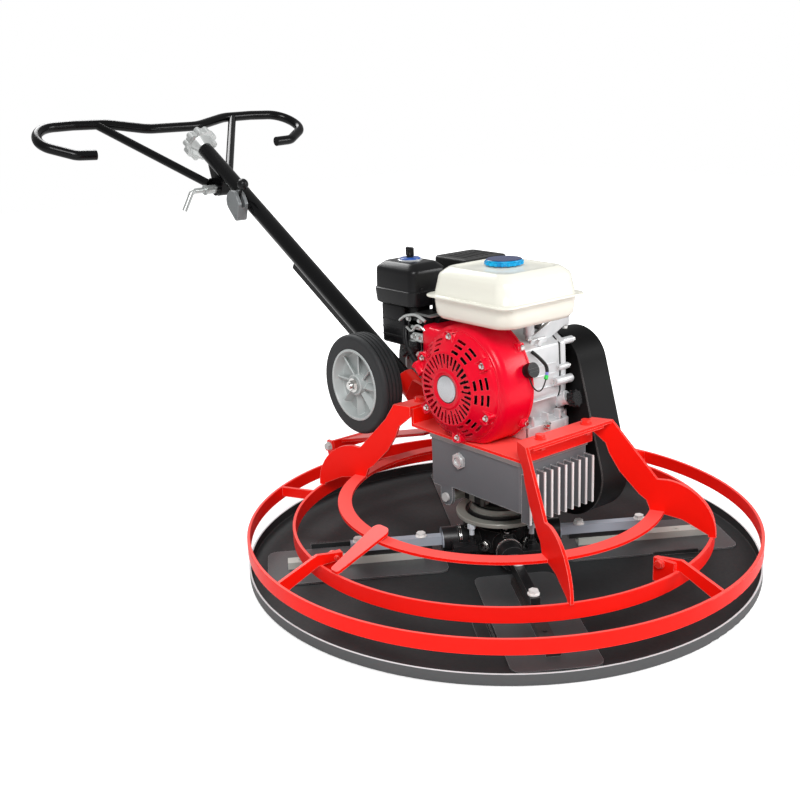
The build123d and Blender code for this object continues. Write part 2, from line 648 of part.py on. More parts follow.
def ring_brackets():
    """Bars and lugs that tie the outer ring to the middle one, the spoke and the rear carrying bar."""
    pieces = []
    start = BRACKET_PIVOT_RADIUS - 14
    end = OUTER_RING_RADIUS - RING_BAR - WELD_FIT
    lug_end = MIDDLE_RING_RADIUS - RING_BAR - WELD_FIT
    top = MIDDLE_RING_TOP
    for angle in BRACKET_ANGLES:
        lug = block(start, lug_end, -12, -6, MIDDLE_RING_BOTTOM, top + 15)
        bar = polygon(
            [(start, top + 14), (MIDDLE_RING_RADIUS + 4, top + 22), (end, OUTER_RING_TOP)]
            + [(end, OUTER_RING_BOTTOM), (MIDDLE_RING_RADIUS + 3, top), (start, top)]
        )
        arm = extrude(Plane.XZ.offset(6) * bar, -6)
        hole = rod_y(4, -20, 5, BRACKET_PIVOT_RADIUS, top + 7)
        pieces.append(turned(angle, lug + arm - hole))
    pieces.append(turned(SPOKE_ANGLE, spoke_plate()))
    pieces += rear_bar()
    for sign in (-1, 1):
        strap = block(MIDDLE_RING_RADIUS, end, -3, 3, MIDDLE_RING_BOTTOM, OUTER_RING_TOP)
        pieces.append(turned(90 + sign * 28, strap))
    return pieces


def spoke_plate():
    """Flat tapered plate that lies over the inner ring and slopes down to the middle ring."""
    lift = INNER_RING_TOP + WELD_FIT
    slope = (INNER_RING_TOP - MIDDLE_RING_TOP) / (MIDDLE_RING_RADIUS - INNER_RING_RADIUS)
    start = INNER_RING_RADIUS - 26
    end = MIDDLE_RING_RADIUS - 1

    def height(x):
        return lift + slope * (INNER_RING_RADIUS - x)

    wide = [(Pos(start + 12, y) * Circle(12)).edges() for y in (-8, 8)]
    narrow = [(Pos(end - 6, y) * Circle(6)).edges() for y in (-5, 5)]
    outline = make_hull(wide[0] + wide[1] + narrow[0] + narrow[1])
    corners = [(start - 5, height(start - 5)), (end + 5, height(end + 5))]
    corners += [(end + 5, height(end + 5) + 6), (start - 5, height(start - 5) + 6)]
    section = extrude(Plane.XZ.offset(-40) * polygon(corners), 80)
    return prism_z(outline, 60, 170) & section


def rear_bar():
    """Lugs and cross bar on the outer ring, with the flat stay up to the rear arch."""
    half = 58
    y = OUTER_RING_RADIUS - 12
    pieces = []
    for sign in (-1, 1):
        faces = sorted((sign * half, sign * (half + 6)))
        outline = [(y - 14, OUTER_RING_TOP), (y + 6, OUTER_RING_TOP), (y + 20, 118), (y + 14, 134), (y - 2, 134)]
        lug = prism_x(polygon(outline), faces[0], faces[1])
        pieces.append(lug - rod_x(5, faces[0] - 1, faces[1] + 1, y + 7, 120))
    bar = block(-half, half, y + 2, y + 8, 108, 132)
    pieces.append(bar)
    top = handle_z(HANDLE_START_Y) - 44
    stay = polygon([(ARCH_OUTER_Y + 5, top - 6), (ARCH_OUTER_Y + 5, top), (y + 2, 130), (y + 2, 123)])
    pieces.append(prism_x(stay, -32, 32))
    return pieces


def engine_base_plate():
    """Plate between gearbox and engine; its ends turn up and out under the arches."""
    t = BASE_PLATE
    low = GEARBOX_TOP
    high = ARCH_TOP - ARCH_PLATE
    wall = ARCH_INNER_Y + 0.5
    outer = ARCH_OUTER_Y - 3
    right = [(wall + t, low), (wall + t, high - t), (outer, high - t), (outer, high), (wall, high), (wall, low + t)]
    left = [(-y, z) for y, z in reversed(right)]
    plate = prism_x(polygon(right + left), -BASE_HALF_WIDTH, BASE_HALF_WIDTH)
    for x, y in arch_bolt_places():
        plate -= rod_z(5, high - t - 1, high + 1, x, y)
    return plate


def frame_bolts():
    """Arch bolts, ring bolts, engine foot bolts, rear bar bolts and the yoke pin."""
    bolts = []
    for x, y in arch_bolt_places():
        bolt = hex_bolt(10, ARCH_PLATE + BASE_PLATE + 8)
        nut = Pos(0, 0, -ARCH_PLATE - BASE_PLATE - 8) * extrude(RegularPolygon(9.2, 6), 8)
        bolts.append(Pos(x, y, ARCH_TOP) * (bolt + nut))
    for angle in BRACKET_ANGLES:
        place = Plane(origin=(BRACKET_PIVOT_RADIUS, -12, MIDDLE_RING_TOP + 7), z_dir=(0, -1, 0))
        bolts.append(turned(angle, place * hex_bolt(8, 18)))
    for x, y in engine_foot_holes():
        bolts.append(Pos(x, y, ENGINE_FOOT_Z + 12) * hex_bolt(8, 12))
    for sign in (-1, 1):
        y = OUTER_RING_RADIUS - 5
        place = Plane(origin=(sign * 64, y, 120), z_dir=(sign, 0, 0))
        bolts.append(place * hex_bolt(10, 6))
    reach = GEARBOX_HALF_WIDTH
    pin = rod_x(YOKE_PIN_RADIUS, -reach, reach, YOKE_PIVOT_Y, YOKE_PIVOT_Z)
    for sign in (-1, 1):
        ends = sorted((sign * reach, sign * (reach + 5)))
        pin += rod_x(9, ends[0], ends[1], YOKE_PIVOT_Y, YOKE_PIVOT_Z)
    bolts.append(pin)
    return bolts


def engine_foot_holes():
    return [(x, y) for x in (5, 92) for y in (CRANK_Y - 86, CRANK_Y + 82)]


# --- handle and wheels ------------------------------------------------------------------------
def handle_socket():
    """Short sleeve for the tube with two side plates welded to the rear arch."""
    plane = handle_plane(HANDLE_START_Y)
    sleeve = plane * extrude(Circle(SOCKET_RADIUS) - Circle(HANDLE_RADIUS), SOCKET_LENGTH)
    low = handle_z(HANDLE_START_Y)
    front = ARCH_INNER_Y + 8
    rear = ARCH_OUTER_Y
    outline = [(front, ARCH_TOP), (rear, ARCH_TOP), (rear, low - 24), (rear + 22, low - 24)]
    outline += [(rear + 66, low + 22), (rear + 40, low + 62), (front, ARCH_TOP + 12)]
    for sign in (-1, 1):
        faces = sorted((sign * (SOCKET_RADIUS - 4), sign * (SOCKET_RADIUS + 4)))
        sleeve += prism_x(polygon(outline), faces[0], faces[1])
    bore = plane * Pos(0, 0, -60) * extrude(Circle(HANDLE_RADIUS), SOCKET_LENGTH + 80)
    return sleeve - bore


def handle_tube():
    length = handle_length(HANDLE_START_Y, HANDLE_END_Y)
    plane = handle_plane(HANDLE_START_Y)
    tube = extrude(Circle(HANDLE_RADIUS), length)
    strip_start = SOCKET_LENGTH + 2
    strip_end = handle_length(HANDLE_START_Y, STRIP_END_Y)
    middle = (strip_start + strip_end) / 2
    depth = STRIP_DEPTH - HANDLE_RADIUS + 6
    strip = Pos(0, -STRIP_DEPTH + depth / 2, middle) * Box(STRIP_THICKNESS, depth, strip_end - strip_start)
    tube = plane * (tube + strip)
    lug = make_hull(
        (Pos(CLAMP_Y, CLAMP_Z) * Circle(18)).edges()
        + (Pos(CLAMP_Y - 22, handle_z(CLAMP_Y - 22) - 8) * Circle(14)).edges()
        + (Pos(CLAMP_Y + 26, handle_z(CLAMP_Y + 26) - 10) * Circle(12)).edges()
    )
    tube += prism_x(lug, -CLAMP_HALF_WIDTH, CLAMP_HALF_WIDTH)
    tube -= rod_x(CLAMP_SCREW_RADIUS + RUN, -60, 60, CLAMP_Y, CLAMP_Z)
    tube -= rod_x(AXLE_RADIUS, -60, 60, WHEEL_Y, handle_z(WHEEL_Y))
    bore = extrude(Circle(HANDLE_RADIUS - HANDLE_WALL), length + 2)
    return tube - plane * Pos(0, 0, -1) * bore


def bar_plane():
    """Plane of the handlebar: X across the machine, Y back along the handle towards the engine."""
    slope = radians(BAR_SLOPE)
    origin = Vector(0, BAR_PLANE_Y, handle_z(BAR_PLANE_Y))
    normal = Vector(0, -sin(slope), cos(slope))
    toward = Vector(0, -cos(slope), -sin(slope))
    across = Vector(1, 0, 0)
    return Plane(origin=origin - normal * BAR_PLANE_DROP, x_dir=across, z_dir=across.cross(toward))


def handlebar_path():
    """Half of the bar, from the dip in the middle to the end of one grip."""
    points = [(0, BAR_DIP), (BAR_STRAIGHT * 0.36, BAR_DIP - 4), (BAR_STRAIGHT * 0.86, 3)]
    points += [(BAR_STRAIGHT + 60, 0), (BAR_SPAN - 8, 6), (BAR_SPAN + 3, BAR_HOOK * 0.62)]
    return points + [(BAR_SPAN - 66, BAR_HOOK), (BAR_GRIP_X, BAR_HOOK + 4)]


def handlebar():
    """Bent bar with two braces that meet in the clamp cheeks."""
    plane = bar_plane()
    half = handlebar_path()
    whole = [(-x, y) for x, y in reversed(half[1:])] + half[1:]
    corners = [plane.from_local_coords(Vector(x, y, 0)) for x, y in whole]
    radii = [34, 44, 66, 90, 110, 110, 110, 110, 90, 66, 44, 34]
    path = FilletPolyline(*corners, radius=radii[: len(corners) - 2])
    bar = sweep(Plane(path @ 0, z_dir=path % 0) * Circle(BAR_RADIUS), path)
    bar += [between(brace_top(sign), brace_foot(sign), BAR_RADIUS - 2) for sign in (-1, 1)]
    for sign in (-1, 1):
        start = CLAMP_HALF_WIDTH + GAP
        faces = sorted((sign * start, sign * (start + CLAMP_CHEEK)))
        foot = brace_foot(sign)
        cheek = make_hull(
            (Pos(CLAMP_Y, CLAMP_Z) * Circle(17)).edges() + (Pos(foot[1], foot[2]) * Circle(13)).edges()
        )
        bar += prism_x(cheek, faces[0], faces[1])
    return bar - rod_x(CLAMP_SCREW_RADIUS + RUN, -80, 80, CLAMP_Y, CLAMP_Z)


def brace_top(sign):
    point = bar_plane().from_local_coords(Vector(sign * BAR_STRAIGHT, 2, 0))
    return (point.X, point.Y, point.Z)


def brace_foot(sign):
    return (sign * (CLAMP_HALF_WIDTH + CLAMP_CHEEK + BAR_RADIUS - 5), CLAMP_Y + 19, CLAMP_Z + 13)


def clamp_crank():
    """Clamp screw with a collar, a bent crank handle and its far nut."""
    reach = CLAMP_HALF_WIDTH + GAP + CLAMP_CHEEK + GAP
    screw = rod_x(CLAMP_SCREW_RADIUS, -reach, reach, CLAMP_Y, CLAMP_Z)
    head = rod_x(11, -reach - 26, -reach, CLAMP_Y, CLAMP_Z)
    nut = Plane(origin=(reach, CLAMP_Y, CLAMP_Z), z_dir=(1, 0, 0)) * extrude(RegularPolygon(11, 6), 10)
    flange = rod_x(13, -reach - 29, -reach - 25, CLAMP_Y, CLAMP_Z)
    start = (-reach - 26, CLAMP_Y, CLAMP_Z)
    path = FilletPolyline(start, (-86, CLAMP_Y, CLAMP_Z), (-112, CLAMP_Y, CLAMP_Z - 46), radius=14)
    crank = sweep(Plane(path @ 0, z_dir=path % 0) * Circle(CRANK_RADIUS), path)
    return screw + head + nut + flange + crank


def throttle_box():
    """Shallow case on the left of the tube, rounded at the top and narrow below."""
    side = -HANDLE_RADIUS
    outline = make_hull(
        (Pos(THROTTLE_Y + 2, THROTTLE_Z + 10) * Circle(26)).edges()
        + (Pos(THROTTLE_Y - 12, THROTTLE_Z - 28) * Circle(8)).edges()
        + (Pos(THROTTLE_Y - 22, THROTTLE_Z + 4) * Circle(8)).edges()
    )
    box = prism_x(outline, side - 27, side)
    box = fillet(box.edges().group_by(Axis.X)[0], 2.5)
    for y, z in ((THROTTLE_Y + 18, THROTTLE_Z + 8), (THROTTLE_Y - 10, THROTTLE_Z - 26)):
        box += rod_x(3.2, side - 28.5, side - 26, y, z)
    slot = block(side - 18, side - 8, THROTTLE_Y - 34, THROTTLE_Y + 26, THROTTLE_Z - 4, THROTTLE_Z + 60)
    box -= slot
    return box - rod_x(4 + RUN, side - 24, side - 3, THROTTLE_Y, THROTTLE_Z + 4)


def throttle_lever():
    side = -HANDLE_RADIUS
    x = side - 13
    lever = rod_x(4, side - 23, side - 4, THROTTLE_Y, THROTTLE_Z + 4)
    lever += between((x, THROTTLE_Y, THROTTLE_Z + 4), (x, THROTTLE_Y - 30, THROTTLE_Z + 46), 3.5)
    return lever + Pos(x, THROTTLE_Y - 34, THROTTLE_Z + 52) * Sphere(13.5)


def wheel_axle():
    z = handle_z(WHEEL_Y)
    reach = WHEEL_CENTRE_X + TYRE_WIDTH / 2
    axle = rod_x(AXLE_RADIUS, -reach - 8, reach + 8, WHEEL_Y, z)
    for sign in (-1, 1):
        near = WHEEL_CENTRE_X - TYRE_WIDTH / 2
        inner = sorted((sign * (near - 6), sign * (near - GAP)))
        axle += rod_x(13, inner[0], inner[1], WHEEL_Y, z)
        place = Plane(origin=(sign * (reach + GAP), WHEEL_Y, z), z_dir=(sign, 0, 0))
        axle += place * extrude(Circle(15), 2)
        axle += place * Pos(0, 0, 2) * extrude(RegularPolygon(11, 6), 8)
        axle += place * Pos(0, 0, 10) * extrude(Circle(6), 4)
    return axle


def wheel_tyre(sign):
    """Solid tyre with four grooves round the tread."""
    half = TYRE_WIDTH / 2
    tyre = extrude(Circle(WHEEL_RADIUS) - Circle(RIM_RADIUS), half, both=True)
    tyre = fillet(tyre.edges().filter_by(GeomType.CIRCLE).filter_by(lambda e: e.radius > RIM_RADIUS + 1), 9)
    groove = extrude(Circle(WHEEL_RADIUS + 1) - Circle(WHEEL_RADIUS - 3), 1.2, both=True)
    for index in range(4):
        tyre -= Pos(0, 0, (index - 1.5) * 9) * groove
    plane = Plane(origin=(sign * WHEEL_CENTRE_X, WHEEL_Y, handle_z(WHEEL_Y)), z_dir=(sign, 0, 0))
    return plane * tyre


def wheel_hub(sign):
    """Moulded wheel: rim ring, dished web, eight curved ribs and the bearing boss."""
    half = TYRE_WIDTH / 2
    hub = extrude(Circle(RIM_RADIUS) - Circle(RIM_RADIUS - 5), half + 1, both=True)
    hub += extrude(Circle(RIM_RADIUS - 4) - Circle(AXLE_RADIUS + RUN), 3, both=True)
    hub += extrude(Circle(19) - Circle(AXLE_RADIUS + RUN), half, both=True)
    for index in range(8):
        rib = ThreePointArc((16, 0), (42, 7), (RIM_RADIUS - 3, 0))
        blade = Rot(0, 0, index * 45) * thicken_rib(rib)
        hub += extrude(blade, half - 9, both=True)
    plane = Plane(origin=(sign * WHEEL_CENTRE_X, WHEEL_Y, handle_z(WHEEL_Y)), z_dir=(sign, 0, 0))
    return plane * hub


def thicken_rib(arc):
    """A rib's face: the arc given a thickness of 4."""
    start = arc @ 0
    end = arc @ 1
    middle = arc @ 0.5
    outer = ThreePointArc((start.X, 2), (middle.X, middle.Y + 2), (end.X, 2))
    inner = ThreePointArc((end.X, -2), (middle.X, middle.Y - 2), (start.X, -2))
    sides = Line((end.X, 2), (end.X, -2)) + Line((start.X, -2), (start.X, 2))
    return make_face(outer + inner + sides)


# --- belt drive -------------------------------------------------------------------------------
def drive_outline(top_radius, bottom_radius):
    """Outline round the crankshaft's pulley and the worm's pulley."""
    top = Pos(CRANK_Y, CRANK_Z) * Circle(top_radius)
    bottom = Pos(WORM_Y, WORM_Z) * Circle(bottom_radius)
    return make_hull(top.edges() + bottom.edges())


def guard_outline(inset):
    """Outline of the belt guard, smaller by an inset."""
    lobes = [(Pos(y, z) * Circle(radius - inset)).edges() for y, z, radius in GUARD_LOBES]
    return make_hull(lobes[0] + lobes[1] + lobes[2])


def belt_guard_back():
    plate = prism_x(guard_outline(0), GUARD_X - 3, GUARD_X)
    plate -= rod_x(24, GUARD_X - 4, GUARD_X + 1, CRANK_Y, CRANK_Z)
    plate -= rod_x(24, GUARD_X - 4, GUARD_X + 1, WORM_Y, WORM_Z)
    stays = rod_x(8, GEARBOX_HALF_WIDTH, GUARD_X - 3, WORM_Y - 40, WORM_Z)
    stays += rod_x(8, GEARBOX_HALF_WIDTH, GUARD_X - 3, WORM_Y + 40, WORM_Z)
    return plate + stays


def belt_guard_cover():
    outside = prism_x(guard_outline(0), GUARD_X, GUARD_X + GUARD_DEPTH)
    outside = fillet(outside.edges().group_by(Axis.X)[-1], 8)
    inside = prism_x(guard_outline(GUARD_SHEET), GUARD_X - 1, GUARD_X + GUARD_DEPTH - GUARD_SHEET)
    inside = fillet(inside.edges().group_by(Axis.X)[-1], 6)
    return outside - inside


def v_belt():
    outer = drive_outline(CLUTCH_PITCH_RADIUS + BELT_OUTSIDE, DRIVEN_PITCH_RADIUS + BELT_OUTSIDE)
    inner = drive_outline(CLUTCH_PITCH_RADIUS - BELT_INSIDE, DRIVEN_PITCH_RADIUS - BELT_INSIDE)
    half = BELT_WIDTH / 2
    return prism_x(outer, BELT_X - half, BELT_X + half) - prism_x(inner, BELT_X - half - 1, BELT_X + half + 1)


def pulley(pitch_radius, bore):
    """Grooved pulley turned about Z with its belt plane at z = 0."""
    lip = pitch_radius + PULLEY_LIP
    floor = pitch_radius - BELT_INSIDE - GAP
    half = BELT_WIDTH / 2
    section = polygon(
        [(bore, -half - 6), (lip, -half - 5), (lip, -half - 2), (floor, -half - 0.5), (floor, half + 0.5)]
        + [(lip, half + 2), (lip, half + 5), (bore, half + 6)]
    )
    return revolve(Plane.XZ * section, Axis.Z)


def driven_pulley():
    plane = Plane(origin=(BELT_X, WORM_Y, WORM_Z), z_dir=(1, 0, 0))
    return plane * pulley(DRIVEN_PITCH_RADIUS, WORM_SHAFT_RADIUS)


def clutch_pulley():
    """Centrifugal clutch drum with its belt groove."""
    body = pulley(CLUTCH_PITCH_RADIUS, CRANK_RADIUS_PTO)
    drum = Pos(0, 0, -32) * extrude(Circle(44) - Circle(CRANK_RADIUS_PTO), 20)
    drum += Pos(0, 0, -13) * extrude(Circle(26) - Circle(CRANK_RADIUS_PTO), 4)
    return Plane(origin=(BELT_X, CRANK_Y, CRANK_Z), z_dir=(1, 0, 0)) * (body + drum)


# --- engine -----------------------------------------------------------------------------------
def crank_plane(x):
    """Plane square to the crankshaft, Y in the sketch pointing up."""
    return Plane(origin=(x, CRANK_Y, CRANK_Z), x_dir=(0, 1, 0), z_dir=(1, 0, 0))


def cylinder_plane():
    """Plane at the crankshaft, Z along the sloping cylinder."""
    tilt = radians(CYLINDER_TILT)
    middle = (CRANKCASE_X[0] + CRANKCASE_X[1]) / 2
    return Plane(origin=(middle, CRANK_Y, CRANK_Z), x_dir=(1, 0, 0), z_dir=(0, cos(tilt), sin(tilt)))


def case_outline(radius):
    """Round crankcase standing on a wide foot."""
    foot = -CRANK_HEIGHT
    right = [(radius + 2, foot), (radius + 2, foot + 12), (radius - 20, -40)]
    left = [(-radius + 20, -40), (-radius - 6, foot + 12), (-radius - 6, foot)]
    return Circle(radius) + polygon(right + left)


def crankcase():
    """Case with its cylinder block, cooling fins and tank posts."""
    low, high = CRANKCASE_X
    case = extrude(crank_plane(low) * case_outline(CRANKCASE_RADIUS), high - low)
    rib = Circle(CRANKCASE_RADIUS + 4) & Pos(-60, 0) * Rectangle(120, 150)
    for index in range(3):
        case += extrude(crank_plane(low + 14 + index * 26) * rib, 5)
    barrel = cylinder_plane() * Pos(0, 0, 100) * Box(72, 78, 70)
    for index in range(5):
        barrel += cylinder_plane() * Pos(0, 0, 92 + index * 9) * Box(90, 96, 3)
    case += barrel
    for x in (2, 66):
        case += rod_z(9, CRANK_Z + 40, TANK_BOTTOM, x, CRANK_Y - 62)
    case -= extrude(crank_plane(low - 1) * Circle(62), high - low - 14)
    case -= cylinder_plane() * Pos(0, 0, 100) * Cylinder(34, 80)
    case -= rod_x(22, low - 2, high + 2, CRANK_Y, CRANK_Z)
    for x, y in engine_foot_holes()[:2]:
        case -= rod_z(4, ENGINE_FOOT_Z - 1, ENGINE_FOOT_Z + 12, x, y)
        case -= rod_z(13, ENGINE_FOOT_Z + 12, ENGINE_FOOT_Z + 34, x, y)
    return case


def crankcase_cover():
    low = CRANKCASE_X[1]
    cover = extrude(crank_plane(low) * case_outline(CRANKCASE_RADIUS + 3), 12)
    cover += extrude(crank_plane(low) * case_outline(CRANKCASE_RADIUS - 8), COVER_X - low)
    for index in range(7):
        angle = radians(index * 51 + 25)
        reach = CRANKCASE_RADIUS - 1
        cover += crank_plane(low) * Pos(reach * cos(angle), reach * sin(angle), 0) * extrude(Circle(9), 24)
    cover += extrude(crank_plane(COVER_X) * Circle(46), 8)
    cover -= extrude(crank_plane(low - 1) * Circle(58), 22)
    cover -= extrude(crank_plane(low - 1) * Circle(CRANK_RADIUS_PTO + RUN), 60)
    for x, y in engine_foot_holes():
        cover -= rod_z(4, ENGINE_FOOT_Z - 1, ENGINE_FOOT_Z + 12, x, y)
        cover -= rod_z(13, ENGINE_FOOT_Z + 12, ENGINE_FOOT_Z + 34, x, y)
    return cover - between((92, -66, 312), (97, -99, 322), 9)


def cylinder_head():
    """Finned head with its rocker cover and the spark plug in its boot."""
    plane = cylinder_plane()
    head = plane * Pos(0, 0, 150.5) * Box(86, 92, 31)
    for index in range(3):
        head += plane * Pos(0, 0, 141 + index * 10) * Box(96, 102, 3)
    head += plane * Pos(0, 0, 181) * fillet(Box(70, 76, 32).edges().filter_by(Axis.Z), 12)
    plug = plane * Pos(-10, -52, 158) * Rot(60, 0, 0) * Cylinder(8, 46)
    boot = plane * Pos(-10, -78, 173) * Rot(60, 0, 0) * Cylinder(12, 34)
    return [head, (plug + boot) - head]


def crankshaft():
    """Shaft with its two cheeks; the connecting rod side runs free inside the case."""
    low = RECOIL_FRONT + 46
    shaft = rod_x(CRANK_RADIUS_PTO, low, BELT_X + 24, CRANK_Y, CRANK_Z)
    for x in (12, 40):
        cheek = Pos(0, -8) * Circle(38) & Pos(0, -4) * Rectangle(50, 90)
        shaft += extrude(crank_plane(x) * cheek, 12)
    shaft += extrude(crank_plane(20) * Pos(0, 18) * Circle(11), 24)
    return shaft


def flywheel_fan():
    """Cast flywheel with curved cooling vanes and the starter cup in front."""
    wheel = extrude(Circle(80) - Circle(CRANK_RADIUS_PTO), 12)
    for index in range(16):
        vane = Pos(62, 0, 0) * Rot(0, 0, 25) * Box(34, 3, 24)
        wheel += Rot(0, 0, index * 22.5) * Pos(0, 0, -11) * vane
    wheel += extrude(Circle(40) - Circle(CRANK_RADIUS_PTO), -24)
    wheel += Pos(0, 0, 12) * extrude(Circle(52) - Circle(CRANK_RADIUS_PTO), 24)
    return crank_plane(-58) * wheel


def shroud_outline(inset):
    radius = SHROUD_RADIUS - inset
    corner = Pos(50, 50) * Rectangle(100 - 2 * inset, 100 - 2 * inset)
    return Circle(radius) + corner


def fan_shroud():
    """Pressed cover round the fan with its corner over the cylinder."""
    low, high = SHROUD_X
    outside = extrude(crank_plane(low) * shroud_outline(0), high - low)
    outside = fillet(outside.edges().group_by(Axis.X)[0], 12)
    bottom = ENGINE_FOOT_Z + 2 * GAP
    outside -= Pos(0, 0, bottom - 50) * Box(400, 400, 100)
    t = SHROUD_SHEET
    inside = extrude(crank_plane(low + t) * shroud_outline(t), high - low)
    inside = fillet(inside.edges().group_by(Axis.X)[0], 10)
    inside -= Pos(0, 0, bottom + t - 50) * Box(400, 400, 100)
    shroud = outside - inside - rod_x(80, low - 1, low + 20, CRANK_Y, CRANK_Z)
    for angle in (-20, 205, 100):
        y = CRANK_Y + (SHROUD_RADIUS - 6) * cos(radians(angle))
        z = CRANK_Z + (SHROUD_RADIUS - 6) * sin(radians(angle))
        shroud += rod_x(6, high - 14, high, y, z)
    return shroud - switch_plane() * Pos(0, 0, -6) * extrude(Circle(12), 20)


def recoil_cover():
    """Dished starter housing with a ring of slots and side vents."""
    low = SHROUD_X[0]
    depth = low - RECOIL_FRONT
    wall = 2
    outer = loft([Circle(RECOIL_RADIUS), Pos(0, 0, depth) * Circle(RECOIL_FACE_RADIUS + 6)])
    outer = fillet(outer.edges().group_by(Axis.Z)[-1], 6)
    inner = loft([Circle(RECOIL_RADIUS - wall), Pos(0, 0, depth - wall) * Circle(RECOIL_FACE_RADIUS + 4)])
    cover = outer - inner
    groove = Circle(RECOIL_FACE_RADIUS) - Circle(RECOIL_FACE_RADIUS - 1.6)
    cover -= Pos(0, 0, depth - 1) * extrude(groove, 4)
    cover += Pos(0, 0, depth - 0.5) * extrude(Circle(30) - Circle(27), 2)
    slot = Pos(52, 0, depth - 4) * extrude(SlotOverall(30, 4.6), 8)
    for index in range(SLOT_COUNT):
        cover -= Rot(0, 0, index * 360 / SLOT_COUNT) * slot
    for angle in (-48, 0, 48, 132):
        for step in (-1, 0, 1):
            vent = Pos(RECOIL_RADIUS - 9, step * 10, 2) * Rot(0, -50, 0) * Box(24, 5, 30)
            cover -= Rot(0, 0, angle) * vent
    reel = Pos(0, 0, 1) * extrude(Circle(34) - Circle(4), depth - wall - 3)
    cover += reel + Pos(0, 0, 1) * extrude(Circle(5), depth - wall)
    place = Plane(origin=(low, CRANK_Y, CRANK_Z), x_dir=(0, -1, 0), z_dir=(-1, 0, 0))
    start, way = starter_axis()
    guide = between(tuple(start - way * 16), tuple(start + way * 10), 9)
    return place * cover + guide


def starter_axis():
    """Start point and direction of the pull cord, on the upper left of the recoil cover."""
    start = Vector(RECOIL_FRONT + 12, CRANK_Y + 93, CRANK_Z + 24)
    return start, Vector(0, 0.72, 0.69)


def starter_grip():
    start, way = starter_axis()
    a = start + way * (10 + GAP)
    stem = between(tuple(a), tuple(a + way * 18), 7)
    grip = between(tuple(a + way * 18), tuple(a + way * 32), 11)
    plane = Plane(origin=a + way * 28, z_dir=way, x_dir=(1, 0, 0))
    grip += plane * fillet(Box(36, 16, 14).edges(), 4)
    return stem + grip


def stop_switch():
    """Round ignition switch knob on the side of the shroud."""
    plane = switch_plane()
    knob = plane * Pos(0, 0, 8 + GAP) * extrude(Circle(14), 12)
    return knob + plane * Pos(0, 0, 19) * Box(24, 6, 5)


def switch_plane():
    angle = radians(162)
    y = CRANK_Y + (SHROUD_RADIUS - 2) * cos(angle)
    z = CRANK_Z + (SHROUD_RADIUS - 2) * sin(angle)
    return Plane(origin=(-24, y, z), z_dir=(0, cos(angle), sin(angle)), x_dir=(1, 0, 0))


def switch_lead():
    """Switch body with its thin lead to the crankcase."""
    body = switch_plane() * extrude(Circle(12), 8)
    start = switch_plane().origin + Vector(0, -8, -11)
    points = [tuple(start), (-22, -110, 374), (-8, -112, 362), (8, -110, 370), (14, -102, 386), (4, -90, 412)]
    path = FilletPolyline(*points, radius=9)
    lead = sweep(Plane(path @ 0, z_dir=path % 0) * Circle(1.3), path)
    joint = between((9, -109, 372), (13, -104, 382), 2.6)
    return body + lead + joint


def fuel_tank():
    """Two pressed halves joined at a flanged seam, with the filler neck."""
    x0, x1 = TANK_X
    y0, y1 = TANK_Y
    cx, cy = (x0 + x1) / 2, (y0 + y1) / 2
    w, d = x1 - x0, y1 - y0
    seam = TANK_SEAM

    def half(inset, height, taper, sign):
        size = RectangleRounded(w - 2 * TANK_LIP - 2 * inset, d - 2 * TANK_LIP - 2 * inset, 28 - inset)
        solid = extrude(size, height - inset, taper=taper)
        solid = fillet(solid.edges().group_by(Axis.Z)[-1], 12 - inset)
        return solid if sign > 0 else Rot(180, 0, 0) * solid

    top = half(0, TANK_TOP - seam, 17, 1)
    bottom = half(0, seam - TANK_BOTTOM, 5, -1)
    flange = Pos(0, 0, -1.5) * extrude(RectangleRounded(w, d, 24), 3)
    shell = top + bottom + flange
    shell -= half(TANK_WALL, TANK_TOP - seam, 17, 1) + half(TANK_WALL, seam - TANK_BOTTOM, 5, -1)
    tank = Pos(cx, cy, seam) * shell
    neck = ring(24, 21, TANK_TOP - 3, TANK_TOP + 4)
    tank -= rod_z(21, TANK_TOP - 6, TANK_TOP + 1, cx, cy)
    return tank + Pos(cx, cy, 0) * neck


def fuel_cap():
    """Cap with a lobed rim that turns a quarter to lock."""
    cx = (TANK_X[0] + TANK_X[1]) / 2
    cy = (TANK_Y[0] + TANK_Y[1]) / 2
    low = TANK_TOP + GAP
    cap = rod_z(CAP_RADIUS - 2, low, low + CAP_HEIGHT)
    cap = fillet(cap.edges().filter_by(GeomType.CIRCLE).group_by(Axis.Z)[-1], 3)
    for index in range(18):
        angle = radians(index * 20)
        reach = CAP_RADIUS - 3
        cap += rod_z(3.5, low, low + CAP_HEIGHT - 4, reach * cos(angle), reach * sin(angle))
    cap -= ring(24 + GAP, 21 - GAP, low - 1, TANK_TOP + 4 + GAP)
    cap += rod_z(12, low - 3, low)
    return Pos(cx, cy, 0) * cap


